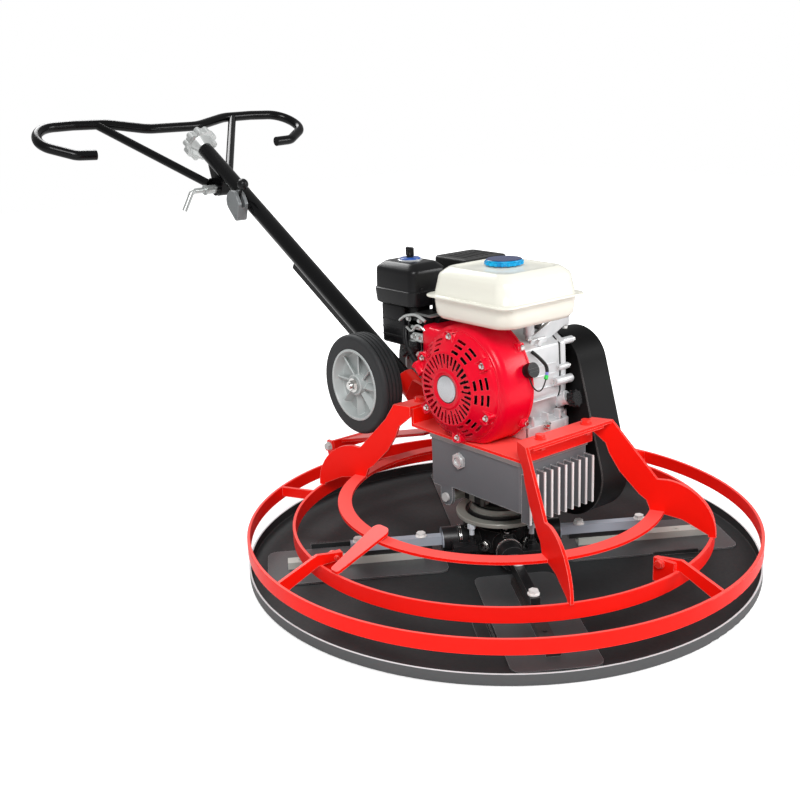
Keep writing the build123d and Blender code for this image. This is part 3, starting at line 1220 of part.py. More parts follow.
def air_cleaner():
    """Air cleaner case with its cover, wing nut and the elbow housing under it."""
    x0, x1 = CLEANER_X
    y0, y1 = CLEANER_Y
    cover = block(x0, x1, y0, y1, CLEANER_BOTTOM + 26, CLEANER_TOP)
    cover = fillet(cover.edges().filter_by(Axis.Z), 16)
    cover = chamfer(cover.edges().group_by(Axis.Z)[-1], 11)
    case = block(x0 - 2, x1 + 2, y0 - 2, y1 + 2, CLEANER_BOTTOM, CLEANER_BOTTOM + 27)
    case = fillet(case.edges().filter_by(Axis.Z), 18)
    elbow = block(x0 + 6, x0 + 50, y0 + 40, y1 - 10, 404, CLEANER_BOTTOM)
    elbow += block(x0 + 18, x0 + 58, y0 + 12.5, y0 + 78, 444, CLEANER_BOTTOM)
    middle_x = (x0 + x1) / 2
    middle_y = (y0 + y1) / 2
    nut = rod_z(21, CLEANER_TOP, CLEANER_TOP + 4, middle_x, middle_y)
    nut += rod_z(5, CLEANER_TOP, CLEANER_TOP + 14, middle_x, middle_y)
    wing = CLEANER_TOP + 26
    nut += block(middle_x - 3, middle_x + 3, middle_y - 11, middle_y + 11, CLEANER_TOP + 6, wing)
    return cover + case + elbow + nut


def carburettor():
    """Body with its throat, float bowl, choke arm and fuel tap."""
    body = block(-58, -15, 134, 172, 428, 478)
    body += rod_y(16, 112, 172, -38, 458)
    body += rod_z(19, 396, 430, -38, 152)
    body += rod_z(7, 388, 398, -38, 152)
    body += rod_x(4, -72, -56, 146, 462)
    body += block(-72, -69, 128, 150, 458, 466)
    body += rod_x(8, -74, -50, 158, 418)
    return body


def muffler():
    """Silencer drum with its louvred guard over it."""
    x0, x1 = MUFFLER_X
    y0, y1 = MUFFLER_Y
    drum = block(x0 + 8, x1 - 8, y0 + 8, y1 - 8, MUFFLER_BOTTOM, MUFFLER_TOP - 10)
    drum = fillet(drum.edges().filter_by(Axis.X), 20)
    head = cylinder_head()[0]
    drum += rod_z(15, 440, MUFFLER_BOTTOM + 8, x0 + 28, 168) - head
    guard = block(x0, x1, y0, y1, MUFFLER_BOTTOM + 12, MUFFLER_TOP)
    guard = fillet(guard.edges().filter_by(Axis.Z), 14)
    guard = fillet(guard.edges().group_by(Axis.Z)[-1], 5)
    guard -= block(x0 + 2, x1 - 2, y0 + 2, y1 - 2, MUFFLER_BOTTOM + 11, MUFFLER_TOP - 2)
    for index in range(6):
        x = x0 + 20 + index * 14
        guard -= block(x, x + 5, y0 + 24, y1 - 24, MUFFLER_TOP - 3, MUFFLER_TOP + 1)
    for x in (x0 + 8, x1 - 8):
        guard += block(x - 4, x + 4, y0 + 1, y0 + 30, MUFFLER_BOTTOM + 28, MUFFLER_BOTTOM + 40)
    return [drum, guard - drum]


def write(name, shape):
    """Save one sub-part; a list is kept as separate solids."""
    pieces = shape if isinstance(shape, list) else [shape]
    solids = [solid for piece in pieces for solid in piece.solids()]
    result = solids[0] if len(solids) == 1 else Compound(children=solids)
    result.label = name
    export_step(result, f"parts/{name}.step")


def build():
    os.makedirs("parts", exist_ok=True)
    simple = [
        float_pan, spider_hub, thrust_bearing, pitch_yoke, pitch_cable, pitch_handwheel,
        gearbox_housing, gearbox_cover, gearbox_bearings, output_shaft, worm_wheel, worm_shaft, oil_plugs,
        outer_ring, middle_ring, inner_ring, ring_brackets, engine_base_plate, frame_bolts,
        handle_socket, handle_tube, handlebar, clamp_crank, throttle_box, throttle_lever, wheel_axle,
        belt_guard_back, belt_guard_cover, v_belt, driven_pulley, clutch_pulley,
        crankcase, crankcase_cover, cylinder_head, crankshaft, flywheel_fan, fan_shroud, recoil_cover,
        starter_grip, stop_switch, switch_lead, fuel_tank, fuel_cap, air_cleaner, carburettor, muffler,
    ]
    for maker in simple:
        write(maker.__name__, maker())
    write("front_arch", arch(-1))
    write("rear_arch", arch(1))
    for side, sign in (("left", -1), ("right", 1)):
        write(f"tyre_{side}", wheel_tyre(sign))
        write(f"wheel_hub_{side}", wheel_hub(sign))
    for index in range(ARM_COUNT):
        write(f"trowel_arm_{index + 1}", trowel_arm(index))
        write(f"trowel_blade_{index + 1}", trowel_blade(index))


build()
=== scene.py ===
import math
import bpy
import bmesh
from mathutils import Matrix, Vector


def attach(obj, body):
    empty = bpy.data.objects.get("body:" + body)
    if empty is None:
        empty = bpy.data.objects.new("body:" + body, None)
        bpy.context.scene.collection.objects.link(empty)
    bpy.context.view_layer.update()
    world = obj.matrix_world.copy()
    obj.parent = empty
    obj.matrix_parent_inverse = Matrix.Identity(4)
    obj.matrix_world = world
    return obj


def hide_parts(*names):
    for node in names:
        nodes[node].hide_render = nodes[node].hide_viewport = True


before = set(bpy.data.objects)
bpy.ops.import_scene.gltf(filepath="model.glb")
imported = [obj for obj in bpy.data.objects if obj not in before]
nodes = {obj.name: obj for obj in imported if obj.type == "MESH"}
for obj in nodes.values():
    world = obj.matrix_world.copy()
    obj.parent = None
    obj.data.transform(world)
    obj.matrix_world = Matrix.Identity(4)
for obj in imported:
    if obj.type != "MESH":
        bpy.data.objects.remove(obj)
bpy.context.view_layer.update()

scene = bpy.context.scene
print("frame loaded:", len(nodes), "nodes")

# camera: where it stands, which way is right and up, its lens and how near and far it sees
cameraSet = {
    "place": (-1.37309, -1.44180, 0.91554), "right": (0.779157, -0.625688, -0.037798),
    "up": (0.206480, 0.199255, 0.957947), "lens": 48.351, "sensor": 36.0, "clip": (0.05, 60),
}


def makeCamera():
    data = bpy.data.cameras.new("mainCamera")
    data.lens = cameraSet["lens"]
    data.sensor_width = cameraSet["sensor"]
    data.clip_start, data.clip_end = cameraSet["clip"]
    camera = bpy.data.objects.new("mainCamera", data)
    right = Vector(cameraSet["right"]).normalized()
    up = Vector(cameraSet["up"]).normalized()
    turn = Matrix((right, up, right.cross(up))).transposed().to_4x4()
    camera.matrix_world = Matrix.Translation(cameraSet["place"]) @ turn
    scene.collection.objects.link(camera)
    scene.camera = camera


makeCamera()

# studio: lamp places, sizes and power, world level, floor tone and size
studioSet = {
    "lamps": [
        {"name": "keyLamp", "place": (-2.2, -2.6, 3.4), "aim": (0, 0.1, 0.3), "size": 2.0, "power": 150},
        {"name": "sideLamp", "place": (2.6, -2.4, 1.8), "aim": (0, 0, 0.3), "size": 1.6, "power": 62},
        {"name": "rimLamp", "place": (0.4, 3.2, 2.8), "aim": (0, 0.2, 0.4), "size": 1.8, "power": 75},
    ],
    "worldLevel": 0.42,
    "floorTone": (0.90, 0.90, 0.90),
    "floorGlow": 0.30,
    "floorFade": (0.5, 1.7),  # the floor turns pure white between these distances from the machine
    "floorSize": 14.0,
    "floorMiddle": (0, 0.4, -0.0004),
}


def makeLamps():
    for spec in studioSet["lamps"]:
        data = bpy.data.lights.new(spec["name"], "AREA")
        data.shape = "DISK"
        data.size = spec["size"]
        data.energy = spec["power"]
        lamp = bpy.data.objects.new(spec["name"], data)
        turn = (Vector(spec["aim"]) - Vector(spec["place"])).to_track_quat("-Z", "Y")
        lamp.matrix_world = Matrix.Translation(spec["place"]) @ turn.to_matrix().to_4x4()
        scene.collection.objects.link(lamp)


def addMath(tree, operation, first, second, clamp=False):
    node = tree.nodes.new("ShaderNodeMath")
    node.operation = operation
    node.use_clamp = clamp
    for index, value in enumerate((first, second)):
        if isinstance(value, (int, float)):
            node.inputs[index].default_value = value
        else:
            tree.links.new(value, node.inputs[index])
    return node.outputs[0]


def mapRange(tree, value, ends=(0, 1), becomes=(0, 1)):
    node = tree.nodes.new("ShaderNodeMapRange")
    for name, pair in (("From", ends), ("To", becomes)):
        node.inputs[name + " Min"].default_value, node.inputs[name + " Max"].default_value = pair
    tree.links.new(value, node.inputs["Value"])
    return node.outputs[0]


def makeWorld():
    world = bpy.data.worlds.new("studioWorld")
    scene.world = world
    world.use_nodes = True
    tree = world.node_tree
    tree.nodes.clear()
    path = tree.nodes.new("ShaderNodeLightPath")
    seen = addMath(tree, "MAXIMUM", path.outputs["Is Camera Ray"], path.outputs["Is Transmission Ray"])
    level = mapRange(tree, seen, becomes=(studioSet["worldLevel"], 1.0))
    shine = tree.nodes.new("ShaderNodeBackground")
    out = tree.nodes.new("ShaderNodeOutputWorld")
    shine.inputs["Color"].default_value = (1, 1, 1, 1)
    tree.links.new(level, shine.inputs["Strength"])
    tree.links.new(shine.outputs[0], out.inputs[0])


def makeFloor():
    bm = bmesh.new()
    bmesh.ops.create_grid(bm, x_segments=2, y_segments=2, size=studioSet["floorSize"] / 2)
    mesh = bpy.data.meshes.new("studioFloor")
    bm.to_mesh(mesh)
    bm.free()
    mesh.transform(Matrix.Translation(studioSet["floorMiddle"]))
    floor = bpy.data.objects.new("studioFloor", mesh)
    scene.collection.objects.link(floor)
    mat = bpy.data.materials.new("floorPaper")
    mat.use_nodes = True
    tree = mat.node_tree
    tree.nodes.clear()
    paper = tree.nodes.new("ShaderNodeBsdfDiffuse")
    paper.inputs["Color"].default_value = studioSet["floorTone"] + (1,)
    glow = tree.nodes.new("ShaderNodeEmission")
    path = tree.nodes.new("ShaderNodeLightPath")
    coords = tree.nodes.new("ShaderNodeTexCoord")
    reach = tree.nodes.new("ShaderNodeVectorMath")
    reach.operation = "LENGTH"
    tree.links.new(coords.outputs["Object"], reach.inputs[0])
    fade = mapRange(tree, reach.outputs["Value"], studioSet["floorFade"], (studioSet["floorGlow"], 1.0))
    level = addMath(tree, "MULTIPLY", path.outputs["Is Camera Ray"], fade)
    add = tree.nodes.new("ShaderNodeAddShader")
    out = tree.nodes.new("ShaderNodeOutputMaterial")
    tree.links.new(level, glow.inputs["Strength"])
    tree.links.new(paper.outputs[0], add.inputs[0])
    tree.links.new(glow.outputs[0], add.inputs[1])
    tree.links.new(add.outputs[0], out.inputs[0])
    mesh.materials.append(mat)


makeLamps()
makeWorld()
makeFloor()
scene.view_settings.view_transform = "Standard"
print("studio ready")


# shader groups: each gives masks and heights that several finishes share
groupSet = {"bevelSamples": 4, "breakScale": 60, "breakDetail": 3, "fineDetail": 4, "cloudDetail": 3}


def newGroup(name, ins, outs):
    group = bpy.data.node_groups.new(name, "ShaderNodeTree")
    for label, kind, start in ins:
        group.interface.new_socket(label, in_out="INPUT", socket_type=kind).default_value = start
    for label, kind in outs:
        group.interface.new_socket(label, in_out="OUTPUT", socket_type=kind)
    return group, group.nodes.new("NodeGroupInput"), group.nodes.new("NodeGroupOutput")


# edge mask from the bevel normal, broken by noise: it lays each finish's painted edge highlight
def makeEdgeGroup():
    group, start, end = newGroup(
        "paintedEdgeHighlight",
        [("Radius", "NodeSocketFloat", 0.002), ("Strength", "NodeSocketFloat", 3.0),
         ("Break", "NodeSocketFloat", 0.3)],
        [("Mask", "NodeSocketFloat")])
    bevel = group.nodes.new("ShaderNodeBevel")
    bevel.samples = groupSet["bevelSamples"]
    geometry = group.nodes.new("ShaderNodeNewGeometry")
    dot = group.nodes.new("ShaderNodeVectorMath")
    dot.operation = "DOT_PRODUCT"
    coords = group.nodes.new("ShaderNodeTexCoord")
    noise = group.nodes.new("ShaderNodeTexNoise")
    noise.inputs["Scale"].default_value = groupSet["breakScale"]
    noise.inputs["Detail"].default_value = groupSet["breakDetail"]
    group.links.new(start.outputs["Radius"], bevel.inputs["Radius"])
    group.links.new(bevel.outputs[0], dot.inputs[0])
    group.links.new(geometry.outputs["Normal"], dot.inputs[1])
    group.links.new(coords.outputs["Object"], noise.inputs["Vector"])
    bend = addMath(group, "SUBTRACT", 1.0, dot.outputs["Value"])
    sharp = addMath(group, "MULTIPLY", bend, start.outputs["Strength"], clamp=True)
    gap = addMath(group, "MULTIPLY", noise.outputs["Fac"], start.outputs["Break"])
    kept = addMath(group, "SUBTRACT", sharp, gap, clamp=True)
    group.links.new(kept, end.inputs["Mask"])
    return group


def makeGrainGroup():
    group, start, end = newGroup(
        "surfaceGrain",
        [("Scale", "NodeSocketFloat", 200.0), ("Stretch", "NodeSocketVector", (1, 1, 1)),
         ("Cloud Scale", "NodeSocketFloat", 6.0)],
        [("Fine", "NodeSocketFloat"), ("Cloud", "NodeSocketFloat")])
    coords = group.nodes.new("ShaderNodeTexCoord")
    scale = group.nodes.new("ShaderNodeVectorMath")
    scale.operation = "MULTIPLY"
    fine = group.nodes.new("ShaderNodeTexNoise")
    fine.inputs["Detail"].default_value = groupSet["fineDetail"]
    cloud = group.nodes.new("ShaderNodeTexNoise")
    cloud.inputs["Detail"].default_value = groupSet["cloudDetail"]
    group.links.new(coords.outputs["Object"], scale.inputs[0])
    group.links.new(start.outputs["Stretch"], scale.inputs[1])
    group.links.new(scale.outputs[0], fine.inputs["Vector"])
    group.links.new(start.outputs["Scale"], fine.inputs["Scale"])
    group.links.new(coords.outputs["Object"], cloud.inputs["Vector"])
    group.links.new(start.outputs["Cloud Scale"], cloud.inputs["Scale"])
    group.links.new(fine.outputs["Fac"], end.inputs["Fine"])
    group.links.new(cloud.outputs["Fac"], end.inputs["Cloud"])
    return group


edgeGroup = makeEdgeGroup()
grainGroup = makeGrainGroup()


def rgba(colour):
    return tuple(colour) + (1.0,)


# what a finish has where it doesn't say otherwise; shadeShare makes the shade from the base
plainLook = {
    "grain": 300.0, "stretch": (1, 1, 1), "cloud": 5.0, "cloudRange": (0.35, 0.75), "shadeShare": 0.86,
    "edge": None, "edgeWidth": 0.002, "edgeStrength": 4.0, "edgeBreak": 0.2, "bands": [],
    "rough": 0.4, "roughSpread": 0.08, "roughLeast": 0.03, "metal": 0.0, "shine": 0.5,
    "coat": 0.0, "coatRough": 0.08, "bump": 0.1, "bumpDepth": 0.0004,
}


def mixColour(tree, mask, first, second):
    mix = tree.nodes.new("ShaderNodeMix")
    mix.data_type = "RGBA"
    tree.links.new(mask, mix.inputs["Factor"])
    if isinstance(first, tuple):
        mix.inputs["A"].default_value = first
    else:
        tree.links.new(first, mix.inputs["A"])
    mix.inputs["B"].default_value = rgba(second)
    return mix.outputs["Result"]


# where a band lies: up = how far a face looks up, high = Z, front = Y, far = distance from the axis
def placeValue(tree, kind):
    coords = tree.nodes.new("ShaderNodeTexCoord")
    parts = tree.nodes.new("ShaderNodeSeparateXYZ")
    tree.links.new(coords.outputs["Normal" if kind == "up" else "Object"], parts.inputs[0])
    if kind != "far":
        return parts.outputs["Y" if kind == "front" else "Z"]
    flat = tree.nodes.new("ShaderNodeCombineXYZ")
    reach = tree.nodes.new("ShaderNodeVectorMath")
    reach.operation = "LENGTH"
    tree.links.new(parts.outputs["X"], flat.inputs["X"])
    tree.links.new(parts.outputs["Y"], flat.inputs["Y"])
    tree.links.new(flat.outputs[0], reach.inputs[0])
    return reach.outputs["Value"]


def makeFinish(name, look):
    look = {**plainLook, **finishSet.get(look.get("like"), {}), **look}
    mat = bpy.data.materials.new(name)
    mat.use_nodes = True
    tree = mat.node_tree
    shader = tree.nodes["Principled BSDF"]
    grain = tree.nodes.new("ShaderNodeGroup")
    grain.node_tree = grainGroup
    grain.inputs["Scale"].default_value = look["grain"]
    grain.inputs["Stretch"].default_value = look["stretch"]
    grain.inputs["Cloud Scale"].default_value = look["cloud"]
    shade = look.get("shade", [part * look["shadeShare"] for part in look["base"]])
    mask = mapRange(tree, grain.outputs["Cloud"], look["cloudRange"])
    colour = mixColour(tree, mask, rgba(look["base"]), shade)
    # painted highlight: the lighter edge colour mixed in along the edges
    if look["edge"]:
        edge = tree.nodes.new("ShaderNodeGroup")
        edge.node_tree = edgeGroup
        edge.inputs["Radius"].default_value = look["edgeWidth"]
        edge.inputs["Strength"].default_value = look["edgeStrength"]
        edge.inputs["Break"].default_value = look["edgeBreak"]
        colour = mixColour(tree, edge.outputs["Mask"], colour, look["edge"])
    for (kind, *ends), second in look["bands"]:
        colour = mixColour(tree, mapRange(tree, placeValue(tree, kind), ends), colour, second)
    tree.links.new(colour, shader.inputs["Base Color"])
    smooth = max(look["roughLeast"], look["rough"] - look["roughSpread"])
    dull = min(1.0, look["rough"] + look["roughSpread"])
    tree.links.new(mapRange(tree, grain.outputs["Fine"], becomes=(smooth, dull)), shader.inputs["Roughness"])
    shader.inputs["Metallic"].default_value = look["metal"]
    shader.inputs["Specular IOR Level"].default_value = look["shine"]
    shader.inputs["Coat Weight"].default_value = look["coat"]
    shader.inputs["Coat Roughness"].default_value = look["coatRough"]
    bump = tree.nodes.new("ShaderNodeBump")
    bump.inputs["Strength"].default_value = look["bump"]
    bump.inputs["Distance"].default_value = look["bumpDepth"]
    tree.links.new(grain.outputs["Fine"], bump.inputs["Height"])
    tree.links.new(bump.outputs["Normal"], shader.inputs["Normal"])
    return mat


# finishes: colours are linear, widths in metres; each edge colour is a painted highlight laid along the edges
finishSet = {
    "frameRed": {"base": (1.0, 0.010, 0.004), "shade": (0.90, 0.008, 0.003), "edge": (1.0, 0.38, 0.33),
                 "edgeStrength": 3.2, "rough": 0.36, "shine": 0.14, "grain": 420, "bump": 0.04,
                 # painted top light: faces that look up turn a lighter red
                 "bands": [(("up", 0.80, 0.97), (1.0, 0.105, 0.090))]},
    "gearboxGrey": {"base": (0.152, 0.160, 0.172), "shade": (0.130, 0.137, 0.148), "edge": (0.78, 0.78, 0.77),
                    "edgeWidth": 0.0024, "edgeStrength": 3.0, "edgeBreak": 0.1, "rough": 0.42, "shine": 0.4,
                    "grain": 260, "bump": 0.12,
                    "bands": [(("front", -0.1655, -0.1662), (0.86, 0.86, 0.85))]},
    "coverGrey": {"base": (0.21, 0.192, 0.187), "shade": (0.18, 0.165, 0.162), "edge": (0.62, 0.62, 0.62),
                  "edgeWidth": 0.0012, "edgeStrength": 3.0, "grain": 260, "bump": 0.08},
    "bearingSteel": {"base": (0.55, 0.55, 0.56), "metal": 1.0, "rough": 0.28, "grain": 500, "stretch": (1, 1, 8)},
    "platedBolt": {"base": (0.78, 0.77, 0.75), "shade": (0.62, 0.61, 0.59), "metal": 1.0, "rough": 0.2,
                   "grain": 700},
    "paintedBolt": {"base": (0.90, 0.030, 0.020), "shade": (0.75, 0.020, 0.012), "edge": (1.0, 0.45, 0.40),
                    "edgeWidth": 0.0012, "rough": 0.34, "shine": 0.3, "grain": 500,
                    # painted top light: bolt faces that look up turn a lighter red
                    "bands": [(("up", 0.8, 0.97), (1.0, 0.14, 0.12)), (("high", 0.114, 0.115), (0.55, 0.55, 0.54)),
                              (("high", 0.145, 0.146), (0.92, 0.035, 0.024))]},
    "plugSteel": {"base": (0.66, 0.67, 0.67), "shade": (0.50, 0.51, 0.51), "metal": 0.3, "rough": 0.26,
                  "grain": 600,
                  "bands": [(("high", 0.290, 0.292), (0.006, 0.006, 0.007))]},
    "tubeBlack": {"base": (0.0025, 0.0025, 0.003), "shade": (0.0018, 0.0018, 0.002), "rough": 0.2,
                  "roughSpread": 0.05, "shine": 0.2, "grain": 500, "bump": 0.05},
    "platedControl": {"base": (0.66, 0.68, 0.67), "shade": (0.44, 0.46, 0.45), "metal": 0.7, "rough": 0.3,
                      "bump": 0.15},
    "throttleGrey": {"base": (0.23, 0.245, 0.25), "shade": (0.19, 0.20, 0.205), "edge": (0.5, 0.52, 0.52),
                     "edgeWidth": 0.001, "metal": 0.35, "rough": 0.42, "grain": 600, "bump": 0.2},
    "plasticBlack": {"base": (0.004, 0.004, 0.0045), "shade": (0.007, 0.007, 0.008), "edge": (0.10, 0.10, 0.10),
                     "edgeWidth": 0.0012, "edgeStrength": 2.5, "rough": 0.32, "shine": 0.24, "grain": 900,
                     "bump": 0.12},
    "cableSteel": {"base": (0.16, 0.16, 0.16), "metal": 0.9, "grain": 900, "stretch": (1, 1, 3)},
    "leadBlack": {"base": (0.006, 0.006, 0.006), "rough": 0.45, "shine": 0.4, "grain": 900},
    "guardBlack": {"base": (0.0120, 0.0120, 0.0124), "shade": (0.0100, 0.0100, 0.0104), "edge": (0.16, 0.15, 0.145),
                   "edgeBreak": 0.05, "rough": 0.5, "shine": 0.1, "grain": 350, "bump": 0.08,
                   # painted shade: the guard turns darker from 0.35 m to 0.40 m high
                   "bands": [(("high", 0.350, 0.400), (0.0012, 0.0012, 0.0013))]},
    "beltRubber": {"base": (0.020, 0.020, 0.020), "rough": 0.8, "grain": 600, "bump": 0.3},
    "pulleyIron": {"base": (0.20, 0.20, 0.21), "metal": 0.9, "rough": 0.42, "grain": 400, "bump": 0.15},
    "fanIron": {"base": (0.03, 0.03, 0.032), "metal": 0.4, "rough": 0.5, "grain": 400, "bump": 0.15},
    "engineAlloy": {"base": (0.72, 0.73, 0.74), "shade": (0.56, 0.57, 0.58), "edge": (0.90, 0.91, 0.92),
                    "edgeWidth": 0.0014, "metal": 0.45, "grain": 900, "cloud": 14, "bump": 0.3},
    "gasketDark": {"base": (0.03, 0.03, 0.03), "rough": 0.7, "grain": 600, "bump": 0.2},
    "engineRed": {"base": (0.78, 0.001, 0.022), "shade": (0.70, 0.001, 0.018), "edge": (0.95, 0.16, 0.20),
                  "edgeWidth": 0.0014, "edgeStrength": 2.2, "rough": 0.24, "shine": 0.2, "grain": 500,
                  "bump": 0.03},
    "badgeSilver": {"base": (0.62, 0.64, 0.66), "shade": (0.54, 0.56, 0.58), "metal": 0.5, "rough": 0.3,
                    "grain": 800},
    "tankIvory": {"base": (0.80, 0.79, 0.70), "shade": (0.77, 0.755, 0.66), "edge": (0.93, 0.92, 0.86),
                  "edgeWidth": 0.0015, "edgeStrength": 2.0, "rough": 0.2, "shine": 0.4, "coat": 0.2, "grain": 400,
                  "bump": 0.02},
    # fuel cap: the bright cyan body is a painted highlight on its sides; faces that look up turn the cap's dark blue
    "capBlue": {"base": (0.004, 0.46, 0.80), "shade": (0.004, 0.22, 0.56), "rough": 0.24, "shine": 0.3,
                "grain": 500, "cloud": 60,
                "bands": [(("up", 0.45, 0.8), (0.003, 0.020, 0.11))]},
    "nutBlue": {"base": (0.012, 0.09, 0.40), "shade": (0.010, 0.06, 0.30), "rough": 0.3, "coat": 0.3, "grain": 500},
    "exhaustBlack": {"base": (0.008, 0.008, 0.008), "shade": (0.012, 0.011, 0.010), "edge": (0.08, 0.08, 0.08),
                     "edgeWidth": 0.0012, "rough": 0.5, "shine": 0.3, "grain": 500, "bump": 0.3},
    "panSteel": {"base": (0.020, 0.0225, 0.0235), "shade": (0.023, 0.0255, 0.0265), "edge": (0.30, 0.30, 0.30),
                 "edgeWidth": 0.0015, "rough": 0.55, "shine": 0.2, "grain": 160, "cloud": 3, "bump": 0.05,
                 # painted highlights: the rim beyond 0.4992 m from the axis turns lighter, and its top edge above
                 # 0.0216 m is painted as a bright line
                 "bands": [(("far", 0.4985, 0.4992), (0.090, 0.092, 0.094)),
                           (("high", 0.0212, 0.0216), (0.62, 0.63, 0.64))]},
    "bladeSteel": {"base": (0.074, 0.078, 0.080), "shade": (0.062, 0.066, 0.068), "edge": (0.45, 0.45, 0.46),
                   "edgeWidth": 0.0014, "metal": 0.1, "grain": 200, "bump": 0.06,
                   "bands": [(("high", 0.0066, 0.0070), (0.50, 0.52, 0.48)),
                             (("high", 0.0484, 0.0488), (0.86, 0.86, 0.84))]},
    # painted shade: blade 3 is a copy of the blade steel with its bar painted dark
    "bladeSteelShaded": {"like": "bladeSteel",
                  "bands": [(("high", 0.0066, 0.0070), (0.042, 0.034, 0.033)),
                            (("high", 0.0484, 0.0488), (0.86, 0.86, 0.84))]},
    "armSteel": {"base": (0.010, 0.010, 0.011), "shade": (0.016, 0.016, 0.017), "rough": 0.34, "grain": 400,
                 "bands": [(("far", 0.119, 0.120), (0.38, 0.42, 0.48)),
                           (("high", 0.0312, 0.0308), (0.012, 0.012, 0.013)),
                           (("high", 0.0655, 0.0660), (0.62, 0.66, 0.70))]},
    # painted shade: arm 3 is the arm without the light outer end that the other arms have
    "armSteelShaded": {"base": (0.008, 0.008, 0.009), "shade": (0.013, 0.013, 0.014), "edge": (0.20, 0.20, 0.20),
                 "edgeWidth": 0.0012, "rough": 0.34, "grain": 400,
                 "bands": [(("high", 0.0655, 0.0660), (0.62, 0.66, 0.70))]},
    "thrustSteel": {"base": (0.30, 0.30, 0.27), "shade": (0.20, 0.195, 0.17), "edge": (0.60, 0.60, 0.56),
                    "edgeWidth": 0.0014, "metal": 0.4, "rough": 0.38,
                    "bands": [(("far", 0.0475, 0.0485), (0.02, 0.02, 0.02)),
                              (("far", 0.0525, 0.0535), (0.34, 0.34, 0.31)),
                              (("far", 0.0605, 0.061), (0.02, 0.02, 0.02)),
                              (("far", 0.0685, 0.0695), (0.36, 0.36, 0.32))]},
    "tyreRubber": {"base": (0.030, 0.031, 0.033), "shade": (0.024, 0.025, 0.026), "rough": 0.62, "shine": 0.3,
                   "grain": 500, "bump": 0.25},
    "hubGrey": {"base": (0.45, 0.48, 0.475), "shade": (0.38, 0.41, 0.405), "edge": (0.78, 0.82, 0.80),
                "edgeWidth": 0.0022, "rough": 0.36, "grain": 700, "bump": 0.12},
    "leadGreen": {"base": (0.01, 0.60, 0.06), "rough": 0.35, "grain": 700},
    "leadBlue": {"base": (0.20, 0.22, 0.62), "rough": 0.35, "grain": 700},
}
finish = {name: makeFinish(name, look) for name, look in finishSet.items()}
print("finishes made:", len(finish))

# which finish each node of the frame wears, where no piece below stands for it
wearSet = {
    "frameRed": ["front_arch", "rear_arch", "inner_ring", "middle_ring", "outer_ring", "ring_brackets",
                 "engine_base_plate", "handle_socket"],
    "gearboxGrey": ["gearbox_housing"],
    "coverGrey": ["gearbox_cover"],
    "bearingSteel": ["gearbox_bearings", "output_shaft", "worm_shaft", "worm_wheel", "crankshaft"],
    "paintedBolt": ["frame_bolts"],
    "plugSteel": ["oil_plugs"],
    "platedBolt": ["wheel_axle"],
    "tubeBlack": ["handle_tube", "handlebar"],
    "platedControl": ["pitch_handwheel", "clamp_crank"],
    "throttleGrey": ["throttle_box"],
    "plasticBlack": ["throttle_lever", "starter_grip", "stop_switch"],
    "cableSteel": ["pitch_cable"],
    "guardBlack": ["belt_guard_back", "belt_guard_cover", "spider_hub"],
    "beltRubber": ["v_belt"],
    "pulleyIron": ["driven_pulley", "clutch_pulley"],
    "fanIron": ["flywheel_fan"],
    "engineAlloy": ["cylinder_head"],
    "capBlue": ["fuel_cap"],
    "exhaustBlack": ["muffler", "carburettor"],
    "panSteel": ["float_pan"],
    "bladeSteel": ["trowel_blade_1", "trowel_blade_2", "trowel_blade_4"],
    "bladeSteelShaded": ["trowel_blade_3"],
    "armSteel": ["trowel_arm_1", "trowel_arm_2", "trowel_arm_4"],
    "armSteelShaded": ["trowel_arm_3"],
    "thrustSteel": ["thrust_bearing", "pitch_yoke"],
    "tyreRubber": ["tyre_left", "tyre_right"],
}


def dressNodes():
    for name, members in wearSet.items():
        for member in members:
            slots = nodes[member].data.materials
            slots.clear()
            slots.append(finish[name])


dressNodes()
print("frame dressed")

# small builders: every piece is drawn in millimetres and shrunk to metres when it is closed
millimetre = 0.001
closeSet = {"merge": 0.001, "sharp": 32}  # distance that merges points, angle from which an edge is sharp
tubeSet = {"sides": 10, "parts": 6}  # sides of the tube, parts between two points of its route
boltSet = {"washer": 0.75, "corner": 1.155, "soft": 0.06}  # shares of the width across the flats


def alongWay(start, way):
    return Matrix.Translation(start) @ Vector(way).to_track_quat("Z", "Y").to_matrix().to_4x4()


def markFaces(bm, before, mat):
    for face in bm.faces:
        if face not in before:
            face.material_index = mat


def edgesOf(verts):
    return list(dict.fromkeys(edge for vert in verts for edge in vert.link_edges))  # each once, in a steady order


def soften(bm, edges, offset, segments=2):
    bmesh.ops.bevel(bm, geom=edges, offset=offset, segments=segments, profile=0.5, affect="EDGES", material=-1)


def addRod(bm, start, end, radius, tip=None, sides=24, soft=0.0, mat=0):
    before = set(bm.faces)
    start, end = Vector(start), Vector(end)
    way = end - start
    made = bmesh.ops.create_cone(bm, cap_ends=True, segments=sides, radius1=radius,
                                 radius2=radius if tip is None else tip, depth=way.length,
                                 matrix=alongWay((start + end) / 2, way))
    if soft:
        rims = [edge for edge in edgesOf(made["verts"]) if any(len(face.verts) > 4 for face in edge.link_faces)]
        soften(bm, rims, soft)
    markFaces(bm, before, mat)


def addBox(bm, low, high, soft=0.0, mat=0, turn=None, segments=2):
    before = set(bm.faces)
    size = [b - a for a, b in zip(low, high)]
    middle = Vector([(a + b) / 2 for a, b in zip(low, high)])
    matrix = Matrix.Translation(middle) @ (turn or Matrix.Identity(4)) @ Matrix.Diagonal(size + [1])
    made = bmesh.ops.create_cube(bm, size=1, matrix=matrix)
    if soft:
        soften(bm, edgesOf(made["verts"]), soft, segments)
    markFaces(bm, before, mat)


